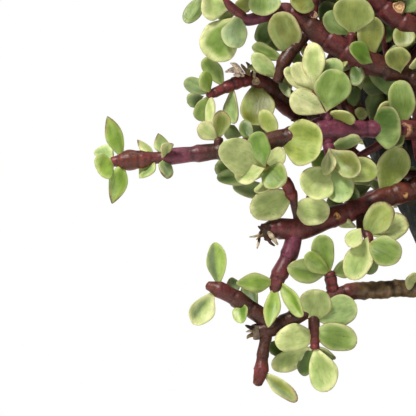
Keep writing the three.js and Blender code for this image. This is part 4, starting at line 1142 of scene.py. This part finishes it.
def leaf_skin():
    """Succulent leaf, grown: thick waxy skin on watery flesh, so it glows a little and its gloss is soft.

    Green flesh breaks into the cream margin along an uneven line, and old rims are scorched brown.
    """
    material, tree, sockets, where = finish("waxy succulent leaf", 1.42, Subsurface_Weight=0.18,
                                            Subsurface_Scale=1.5 * MM,
                                            Subsurface_Radius=(0.7, 1.0, 0.25))
    place = node(tree, "Attribute", attribute_name="place")
    blotch = node(tree, "TexNoise", (place, per_mm(5), 4, 0.66))
    fleck = node(tree, "TexNoise", (where, per_mm(0.9), 3, 0.6))
    cloud = node(tree, "TexNoise", (where, per_mm(7), 2))
    flesh = node(tree, "Attribute", attribute_name="flesh")
    scorch = node(tree, "Attribute", attribute_name="flesh", out="Alpha")
    margin = node(tree, "Attribute", attribute_name="margin")
    edge = node(tree, "Attribute", attribute_name="edge", out="Fac")
    uneven = node(tree, "Math", (blotch, 3.6, -1.8), operation="MULTIPLY_ADD")
    inside = node(tree, "Math", (edge, uneven), operation="ADD")
    inside = node(tree, "MapRange", (inside, -1.4, 1.9), interpolation_type="SMOOTHSTEP")
    deep = node(tree, "MapRange", (edge, 0.5, 4.5, 1.0, 0.9))
    green = node(tree, "Mix", (1.0, flesh, deep), **TINT)
    tone = node(tree, "Mix", (inside, margin, green), **OVER)
    patchy = node(tree, "ValToRGB", (cloud,), [(0.32, "ccd6b2"), (0.62, "fefeee")])
    tone = node(tree, "Mix", (0.9, tone, patchy), **TINT)
    vein = node(tree, "ValToRGB", (blotch,), [(0.34, "9fb07c"), (0.5, "f6faea"), (0.66, "ffffee")])
    tone = node(tree, "Mix", (0.38, tone, vein), **TINT)
    speck = node(tree, "ValToRGB", (fleck,), [(0.27, "6d7a44"), (0.36, "ffffff")])
    tone = node(tree, "Mix", (0.6, tone, speck), **TINT)
    burnt = node(tree, "MapRange", (fleck, 0.3, 0.6, 0.5, 1.1))
    burnt = node(tree, "Math", (scorch, burnt), operation="MULTIPLY", use_clamp=True)
    brown = node(tree, "ValToRGB", (scorch,), [(0.45, "8f5c47"), (0.8, "4a3423")])
    tone = node(tree, "Mix", (burnt, tone, brown), **OVER)
    gloss = node(tree, "MapRange", (cloud, 0.3, 0.7, 0.34, 0.5))
    crinkle = node(tree, "Math", (fleck, 0.35, blotch), operation="MULTIPLY_ADD")
    normal = node(tree, "Bump", {"Height": crinkle, "Strength": 0.4, "Distance": 0.5 * MM})
    dress(tree, sockets, Base_Color=tone, Roughness=gloss, Normal=normal)
    return material


def shoot_skin():
    """Young jade wood, grown: tight smooth skin with a faint bloom, so its purple shines along the top."""
    material, tree, sockets, where = finish("smooth purple shoot", 1.42)
    tone = node(tree, "Attribute", attribute_name="tone")
    cloud = node(tree, "TexNoise", (where, per_mm(3.5), 4, 0.6))
    grain = node(tree, "TexNoise", (where, per_mm(0.8), 3, 0.6))
    patchy = node(tree, "MapRange", (cloud, 0.28, 0.72, 0.45, 1.55))
    tone = node(tree, "Mix", (1.0, tone, patchy), **TINT)
    bloom = node(tree, "MapRange", (grain, 0.53, 0.7, 0.0, 0.18))
    tone = node(tree, "Mix", (bloom, tone, linear("a5808a")), **OVER)
    gloss = node(tree, "MapRange", (grain, 0.3, 0.7, 0.3, 0.48))
    height = node(tree, "Math", (grain, 0.6, cloud), operation="MULTIPLY_ADD")
    normal = node(tree, "Bump", {"Height": height, "Strength": 0.5, "Distance": 0.4 * MM})
    dress(tree, sockets, Base_Color=tone, Roughness=gloss, Normal=normal)
    return material


def old_bark():
    """Old jade bark, weathered: dry grey skin split lengthwise, dark in the splits and pale on the ridges."""
    material, tree, sockets, where = finish("weathered grey bark", 1.5, Roughness=0.8)
    tone = node(tree, "Attribute", attribute_name="tone")
    stretch = node(tree, "Mapping", {"Vector": where, "Scale": (1.0, 1.0, 0.28)})
    split = node(tree, "TexNoise", (stretch, per_mm(2.4), 6, 0.65))
    grit = node(tree, "TexNoise", (where, per_mm(0.8), 3))
    patch = node(tree, "TexNoise", (where, per_mm(9), 3))
    streak = node(tree, "ValToRGB", (split,), [(0.32, 0.4), (0.52, 0.95), (0.72, 1.0)])
    tone = node(tree, "Mix", (1.0, tone, streak), **TINT)
    ridge = node(tree, "MapRange", (split, 0.54, 0.72, 0.0, 0.75))
    tone = node(tree, "Mix", (ridge, tone, linear("83817a")), **OVER)
    warm = node(tree, "MapRange", (patch, 0.52, 0.75, 0.0, 0.5))
    tone = node(tree, "Mix", (warm, tone, linear("5d4f3f")), **OVER)
    height = node(tree, "Math", (grit, 0.4, split), operation="MULTIPLY_ADD")
    normal = node(tree, "Bump", {"Height": height, "Strength": 0.9, "Distance": 1.2 * MM})
    dress(tree, sockets, Base_Color=tone, Normal=normal)
    return material


def dry_cork():
    """Cork of healed cuts and dried flower ends, grown and dried out: pale, cracked and quite matt."""
    material, tree, sockets, where = finish("dry cork", 1.5, Roughness=0.9)
    tone = node(tree, "Attribute", attribute_name="tone")
    grain = node(tree, "TexNoise", (where, per_mm(0.8), 5, 0.65))
    crack = node(tree, "MapRange", (grain, 0.32, 0.62, 0.35, 1.2))
    tone = node(tree, "Mix", (1.0, tone, crack), **TINT)
    normal = node(tree, "Bump", {"Height": grain, "Strength": 0.8, "Distance": 0.4 * MM})
    dress(tree, sockets, Base_Color=tone, Normal=normal)
    return material


def fired_clay(clay):
    """Stoneware, pressed and fired without glaze: matt, with fine grit and soft clouds from the kiln."""
    material, tree, sockets, where = finish("unglazed stoneware", 1.5)
    cloud = node(tree, "TexNoise", (where, per_mm(26), 5, 0.55))
    grit = node(tree, "TexNoise", (where, per_mm(1.0), 3, 0.7))
    patchy = node(tree, "MapRange", (cloud, 0.3, 0.7, 0.68, 1.25))
    tone = node(tree, "Mix", (1.0, clay, patchy), **TINT)
    iron = node(tree, "MapRange", (grit, 0.6, 0.7, 0.0, 0.55))
    tone = node(tree, "Mix", (iron, tone, linear("33211a")), **OVER)
    gloss = node(tree, "MapRange", (cloud, 0.3, 0.7, 0.66, 0.5))
    normal = node(tree, "Bump", {"Height": grit, "Strength": 0.35, "Distance": 0.4 * MM})
    dress(tree, sockets, Base_Color=tone, Roughness=gloss, Normal=normal)
    return material


def baked_grit(name, size):
    """Bonsai grit, baked clay and bark crumbs: dusty and matt, each crumb pitted."""
    material, tree, sockets, where = finish(name, 1.5, Roughness=0.92)
    tone = node(tree, "Attribute", attribute_name="tone")
    crumb = node(tree, "TexNoise", (where, per_mm(size), 4, 0.6))
    pits = node(tree, "MapRange", (crumb, 0.3, 0.7, 0.5, 1.3))
    tone = node(tree, "Mix", (1.0, tone, pits), **TINT)
    normal = node(tree, "Bump", {"Height": crumb, "Strength": 0.8, "Distance": 0.8 * MM})
    dress(tree, sockets, Base_Color=tone, Normal=normal)
    return material


# Sizes and colours that a user would change

def colour(name, description, hexa):
    return bpy.props.FloatVectorProperty(name=name, description=description, size=4, subtype="COLOR",
                                         min=0, max=1, default=linear(hexa))


def length(name, description, size):
    return bpy.props.FloatProperty(name=name, description=description, default=size, min=0,
                                   unit="LENGTH")


class FoliageSettings(bpy.types.PropertyGroup):
    green: colour("Green", "Flesh of an ordinary leaf", "86a055")
    fresh: colour("Fresh green", "Flesh of a young leaf", "7ba145")
    lime: colour("Lime", "Flesh of a leaf in full light", "9dbb5a")
    yellow: colour("Yellow green", "Flesh of a ripe leaf", "a6b264")
    olive: colour("Olive", "Flesh of an old leaf", "959b52")
    # Pale green is also laid on the paler side of every leaf, as painted light
    pale: colour("Pale green", "Flesh of a leaf with much cream in it", "a9c28a")
    celery: colour("Celery", "Flesh of a leaf that is nearly all cream", "c6d698")
    light: colour("Light celery", "Flesh of a leaf of cream with a little green", "d9e3ab")
    moss: colour("Moss", "Flesh of a leaf that has begun to yellow", "80833f")
    grey: colour("Grey green", "Underside of a leaf", "86997a")
    # Dark green is partly painted shade: the flesh of leaves deep in the crown and behind the front limbs,
    # and the darker side laid on every leaf, as well as the leaf's own dark streaks
    dark: colour("Dark green", "Flesh of a shaded leaf", "546e36")
    cream: colour("Cream", "Margin of a leaf", "f0efc9")
    stalk: colour("Stalk", "Foot of a leaf", "a8824a")


class PotSettings(bpy.types.PropertyGroup):
    long: length("Length", "Outer length over the lip", 0.22)
    short: length("Width", "Outer width over the lip", 0.168)
    clay: colour("Clay", "The fired clay", "6f4534")


class SoilSettings(bpy.types.PropertyGroup):
    grit: length("Grit", "Usual size of a crumb", 0.003)
    crumbs: bpy.props.IntProperty(name="Crumbs", description="How many loose crumbs lie on top",
                                  default=1100, min=0)
    earth: colour("Earth", "The bed under the crumbs", "45362a")


class StageSettings(bpy.types.PropertyGroup):
    floor: colour("Floor", "The floor", "f1f0ee")
    distance: length("Distance", "From the camera to the tree", SIGHT["distance"] * MM)
    view: length("View", "Width of the view at the tree", 0.208)


# Rings along a leaf and points round it, finer the nearer it is to the front
DETAIL = {"front": (20, 24), "crown": (9, 14), "filling": (6, 10)}

# The tree's plan and its finishes are worked out once, when the first piece asks for them
SHARED = {}


def shared(name, make):
    if name not in SHARED:
        SHARED[name] = make()
    return SHARED[name]


def palette_of(context):
    """The foliage colours by name, in linear light."""
    settings = context.scene.bonsai_foliage
    return {name: tuple(getattr(settings, name)) for name in FoliageSettings.__annotations__}


def build_limb(tree, name, wood, detail, seed, palette):
    """Makes the piece of a limb's wood, and the piece of the leaves that it bears."""
    wood.build(f"{name}_wood", shared("shoot", shoot_skin), "bark", name)
    leaves = Sheaf()
    leaf_surfaces(leaves, leaves_of(tree, name), detail, seed, palette)
    leaves.build(f"{name}_leaves", shared("leaf", leaf_skin), "leaf", name)


# Lamps, as a name, place and size in metres, and power in watts, and the point that they light
LAMPS = [("key", (-0.8, -1.2, 1.7), 0.45, 47), ("fill", (1.5, -1.3, 0.7), 1.4, 3),
         ("top", (0.2, 0.3, 1.9), 0.8, 18), ("back", (-0.8, 1.6, 0.9), 1.2, 6)]
AIM = (0, 0, 0.22)


class BONSAI_OT_stage(bpy.types.Operator):
    """Camera, floor, white daylight and soft lights"""
    bl_idname = "bonsai.stage"
    bl_label = "Stage"

    def execute(self, context):
        settings = context.scene.bonsai_stage
        camera = bpy.data.cameras.new("camera")
        camera.sensor_width = 36
        camera.lens = camera.sensor_width * settings.distance / settings.view
        camera.clip_end = 20
        eye = add_object("camera", camera)
        eye.location = (SIGHT["x"] * MM, -settings.distance, SIGHT["z"] * MM)
        eye.rotation_euler = (math.pi / 2, 0, 0)
        context.scene.camera = eye
        context.scene.view_settings.view_transform = "Standard"
        self.floor(settings.floor)
        for name, where, size, power in LAMPS:
            light = bpy.data.lights.new(name, "AREA")
            light.size = size
            light.energy = power
            light.color = linear("fffaf0")[:3]
            lamp = add_object(name, light)
            lamp.location = where
            aim = np.array(AIM) - np.array(where)
            lamp.rotation_euler = (math.acos(-aim[2] / np.linalg.norm(aim)), 0, math.atan2(-aim[0], aim[1]))
        self.daylight(context)
        return {"FINISHED"}

    def floor(self, tone):
        """A flat round floor."""
        radius, sides = 1.7, 96
        turn = circle(sides)
        points = np.stack([radius * np.cos(turn), radius * np.sin(turn), 0 * turn], -1)
        mesh = bpy.data.meshes.new("floor")
        mesh.from_pydata(points, [], [tuple(range(sides))])
        floor = add_object("floor", mesh)
        material, _, sockets, _ = finish("pale floor", 1.45, Roughness=0.9)
        sockets["Base Color"].default_value = tone
        mesh.materials.append(material)

    def daylight(self, context):
        """White all round to look at, and a fifth as bright as a light, so that hollows stay dark."""
        world = bpy.data.worlds.new("daylight")
        world.use_nodes = True
        seen_directly = node(world.node_tree, "LightPath", out="Is Camera Ray")
        strength = node(world.node_tree, "MapRange", (seen_directly, 0.0, 1.0, 0.2, 1.0))
        background = world.node_tree.nodes["Background"]
        background.inputs["Color"].default_value = linear("ffffff")
        world.node_tree.links.new(strength, background.inputs["Strength"])
        context.scene.world = world


class BONSAI_OT_pot(bpy.types.Operator):
    """Oval pot with a rolled lip and four feet"""
    bl_idname = "bonsai.pot"
    bl_label = "Pot"

    def execute(self, context):
        settings = context.scene.bonsai_pot
        low, high = (np.array(corner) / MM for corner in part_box("pot"))
        centre = (low + high) / 2
        rim = settings.long / MM / 2
        profile = [(10, 8), (rim - 24, 8), (rim - 21.5, 9), (rim - 15, 22), (rim - 9.5, 44), (rim - 7, 60),
                   (rim - 5.6, 61.6), (rim - 1, 62.2), (rim + 0.2, 64), (rim + 0.2, 70), (rim - 1, 72.6),
                   (rim - 3.5, 73), (rim - 8.5, 73), (rim - 10.5, 72), (rim - 12.5, 62), (rim - 15, 44),
                   (rim - 18, 30), (rim - 25, 15.6), (rim - 30, 15), (10, 15)]
        sheaf = Sheaf()
        sheaf.put(*lathe(profile, centre, settings.short / settings.long, 160, 0.18))
        for side_x in (1, -1):
            for side_y in (1, -1):
                self.foot(sheaf, centre[0] + side_x * FOOT["x"], centre[1] + side_y * FOOT["y"])
        clay = tuple(settings.clay)
        sheaf.build("footed_pot", fired_clay(clay), "stoneware", "pot")
        return {"FINISHED"}

    def foot(self, sheaf, x, y):
        """A foot: a superellipse, cos and sin to the power 0.45, that widens as it is carried up."""
        levels = np.array([(0, 0.9), (0.4, 0.95), (1.4, 0.98), (6, 1.04), (FOOT["height"], 1.1)])
        sides = 40
        c, s = np.cos(circle(sides)), np.sin(circle(sides))
        across = FOOT["long"] / 2 * levels[:, 1:] * np.sign(c) * np.abs(c) ** 0.45
        deep = FOOT["wide"] / 2 * levels[:, 1:] * np.sign(s) * np.abs(s) ** 0.45
        points = np.stack([x + across, y + deep, levels[:, :1] + 0 * c], -1).reshape(-1, 3)
        points = np.vstack([points, (x, y, 0), (x, y, FOOT["height"])])
        sheaf.put(points, ring_faces(len(levels), sides))


class BONSAI_OT_soil(bpy.types.Operator):
    """Gritty soil with loose crumbs on top"""
    bl_idname = "bonsai.soil"
    bl_label = "Soil"

    def execute(self, context):
        settings = context.scene.bonsai_soil
        low, high = (np.array(corner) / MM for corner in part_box("soil"))
        centre, reach = (low + high) / 2, (high - low) / 2
        crest = high[2]
        rings, sides = 60, 120
        share = np.concatenate([np.linspace(0.02, 1, rings), [1.0, 0.97, 0.9, 0.82]])
        drop = np.concatenate([np.zeros(rings), [3, 14, 34, 46]])[:, None]
        s, turn = np.meshgrid(share, circle(sides), indexing="ij")
        x, y = centre[0] + reach[0] * s * np.cos(turn), centre[1] + reach[1] * s * np.sin(turn)
        bumps = 0.9 * waves(x / 4 + 50, y / 4 + 50, 97, 11) + 0.6 * waves(x / 1.8 + 90, y / 1.8 + 90, 97, 12)
        z = crest - 0.4 - (crest - SOIL_EDGE) * s**2 + np.where(drop > 0, 0, bumps - 0.6) - drop
        points = np.stack([x, y, z], -1).reshape(-1, 3)
        points = np.vstack([points, (centre[0], centre[1], crest - 0.6), (centre[0], centre[1], 16)])
        sheaf = Sheaf()
        sheaf.put(points, ring_faces(len(share), sides), inward=True, tone=tuple(settings.earth))
        sheaf.build("soil_bed", baked_grit("gritty soil", 1.6), "soil", "soil")
        self.crumbs(settings, centre, reach, crest)
        return {"FINISHED"}

    def crumbs(self, settings, centre, reach, crest):
        """Loose crumbs: spheres of a few rings of points, each pushed in or out unevenly."""
        rng = np.random.default_rng(31)
        rings, sides = 4, 7
        polar, turn = np.meshgrid(np.linspace(0, math.pi, rings + 2)[1:-1], circle(sides), indexing="ij")
        ball = np.stack([np.sin(polar) * np.cos(turn), np.sin(polar) * np.sin(turn), np.cos(polar)], -1)
        ball = np.vstack([ball.reshape(-1, 3), (0, 0, 1), (0, 0, -1)])
        tones = [linear(tone) for tone in ("7a5236", "5a4230", "8a6a4a", "3d3128", "6b6258", "94806a")]
        sheaf = Sheaf()
        for _ in range(settings.crumbs):
            angle, s = rng.uniform(0, 2 * math.pi), math.sqrt(rng.uniform(0.0, 0.94))
            x, y = centre[0] + reach[0] * s * math.cos(angle), centre[1] + reach[1] * s * math.sin(angle)
            if math.hypot(x - TRUNK_STEM[0][0], y - TRUNK_STEM[0][1]) < BARE_GROUND:
                continue
            size = settings.grit / MM * rng.uniform(0.3, 0.75) * np.array((1, 0.85, 0.7))
            lump = ball * (1 + 0.18 * rng.uniform(-1, 1, (len(ball), 1))) * size
            c, s_turn = math.cos(angle * 5), math.sin(angle * 5)
            lump = lump @ np.array([[c, s_turn, 0], [-s_turn, c, 0], [0, 0, 1]])
            z = crest - (crest - SOIL_EDGE) * s**2 + size[2] * 0.2
            tone = tones[rng.integers(len(tones))]
            sheaf.put(lump + (x, y, z), ring_faces(rings, sides), inward=True, tone=tone)
        sheaf.build("soil_crumbs", baked_grit("loose crumbs", 0.8), "soil")


class BONSAI_OT_trunk(bpy.types.Operator):
    """Leaning trunk and second stem, with root lobes"""
    bl_idname = "bonsai.trunk"
    bl_label = "Trunk"

    def execute(self, context):
        sheaf = Sheaf()
        # The trunk goes on into the soil
        rooted = [(36, 6, 62, 27), (36, 6, 68, 26), *TRUNK_STEM[1:]]
        old_wood(sheaf, rooted, "G" * len(rooted), 3, sides=96, step=1.2, furrow=0.07, flare=4)
        old_wood(sheaf, SECOND_STEM, "G" * len(SECOND_STEM), 17, sides=80, step=1.2)
        sheaf.build("trunk_wood", shared("bark", old_bark), "bark", "trunk")
        return {"FINISHED"}


class BONSAI_OT_front_limbs(bpy.types.Operator):
    """The six leafy limbs of the front left, each with its healed cuts and dried ends"""
    bl_idname = "bonsai.front_limbs"
    bl_label = "Front limbs"

    def execute(self, context):
        tree = shared("tree", Tree)
        palette = palette_of(context)
        for n, (name, (root, _)) in enumerate(LIMBS.items()):
            wood = Sheaf()
            for i, stem in enumerate(stems_of(tree, name)):
                route, bark = stem["route"], stem["bark"]
                if stem["kind"] == "main":
                    route = [(*root, route[0][3] * 1.15), *route]
                    bark = [bark[0], *bark]
                shoot(wood, route, bark, 100 + 10 * n + i, sides=24, step=0.6)
            build_limb(tree, name, wood, DETAIL["front"], 200 + n, palette)
        self.cuts_and_husks()
        return {"FINISHED"}

    def cuts_and_husks(self):
        cork = Sheaf()
        for x, z, y, towards, radius, tone in HEALED_CUTS:
            healed_cut(cork, np.array(seen(x, z, y)), towards, radius, tone)
        for n, (bark, points) in enumerate(HUSKS):
            route = [seen(x, z, y) + [r] for x, z, y, r in points]
            shoot(cork, route, bark * len(route), 60 + n, sides=8, step=0.5)
        cork.build("cuts_and_husks", dry_cork(), "bark")


class BONSAI_OT_crown(bpy.types.Operator):
    """The leafy limbs of the rest of the crown"""
    bl_idname = "bonsai.crown"
    bl_label = "Crown"

    def execute(self, context):
        tree = shared("tree", Tree)
        palette = palette_of(context)
        for n, (name, (_, points)) in enumerate(zip(CROWN_NAMES, CROWN_LIMBS)):
            wood = Sheaf()
            for i, stem in enumerate(stems_of(tree, name)):
                route = stem["route"]
                if stem["kind"] == "limb":
                    route = [points[0], *route]
                    old_wood(wood, route, "GG" + "O" * (len(route) - 2), 300 + n, sides=24, step=2)
                else:
                    shoot(wood, route, twig_bark(route), 320 + 10 * n + i, sides=10, step=1.4)
            build_limb(tree, name, wood, DETAIL["crown"], 400 + n, palette)
        return {"FINISHED"}


class BONSAI_OT_filling(bpy.types.Operator):
    """More leafy sprays that fill the crown, and shaded leaves behind the front limbs"""
    bl_idname = "bonsai.filling"
    bl_label = "Filling sprays"

    def execute(self, context):
        tree = shared("tree", Tree)
        palette = palette_of(context)
        wood = Sheaf()
        for i, stem in enumerate(stems_of(tree, "filling")):
            shoot(wood, stem["route"], twig_bark(stem["route"]), 700 + i, sides=8, step=2)
        wood.build("filling_wood", shared("shoot", shoot_skin), "bark")
        chosen = tree.leaves[tree.solid_leaves:]
        for part in range(2):
            leaves = Sheaf()
            leaf_surfaces(leaves, chosen[part::2], DETAIL["filling"], 900 + part, palette)
            leaves.build(f"filling_leaves_{part + 1}", shared("leaf", leaf_skin), "leaf")
        return {"FINISHED"}


OPERATORS = (BONSAI_OT_stage, BONSAI_OT_pot, BONSAI_OT_soil, BONSAI_OT_trunk, BONSAI_OT_front_limbs,
             BONSAI_OT_crown, BONSAI_OT_filling)
SETTINGS = {"bonsai_foliage": FoliageSettings, "bonsai_pot": PotSettings, "bonsai_soil": SoilSettings,
            "bonsai_stage": StageSettings}


class BONSAI_PT_panel(bpy.types.Panel):
    bl_idname = "BONSAI_PT_panel"
    bl_label = "Variegated jade bonsai"
    bl_space_type = "VIEW_3D"
    bl_region_type = "UI"
    bl_category = "Bonsai"

    def draw(self, context):
        for name, group in SETTINGS.items():
            for key in group.__annotations__:
                self.layout.prop(getattr(context.scene, name), key)
        for operator in OPERATORS:
            self.layout.operator(operator.bl_idname)


def register():
    for cls in (*SETTINGS.values(), *OPERATORS, BONSAI_PT_panel):
        bpy.utils.register_class(cls)
    for name, group in SETTINGS.items():
        setattr(bpy.types.Scene, name, bpy.props.PointerProperty(type=group))


def unregister():
    for name in SETTINGS:
        delattr(bpy.types.Scene, name)
    for cls in (BONSAI_PT_panel, *reversed(OPERATORS), *reversed(SETTINGS.values())):
        bpy.utils.unregister_class(cls)


def main():
    register()
    for piece in ("stage", "pot", "soil", "trunk", "front_limbs", "crown", "filling"):
        getattr(bpy.ops.bonsai, piece)()


if __name__ == "__main__":
    main()
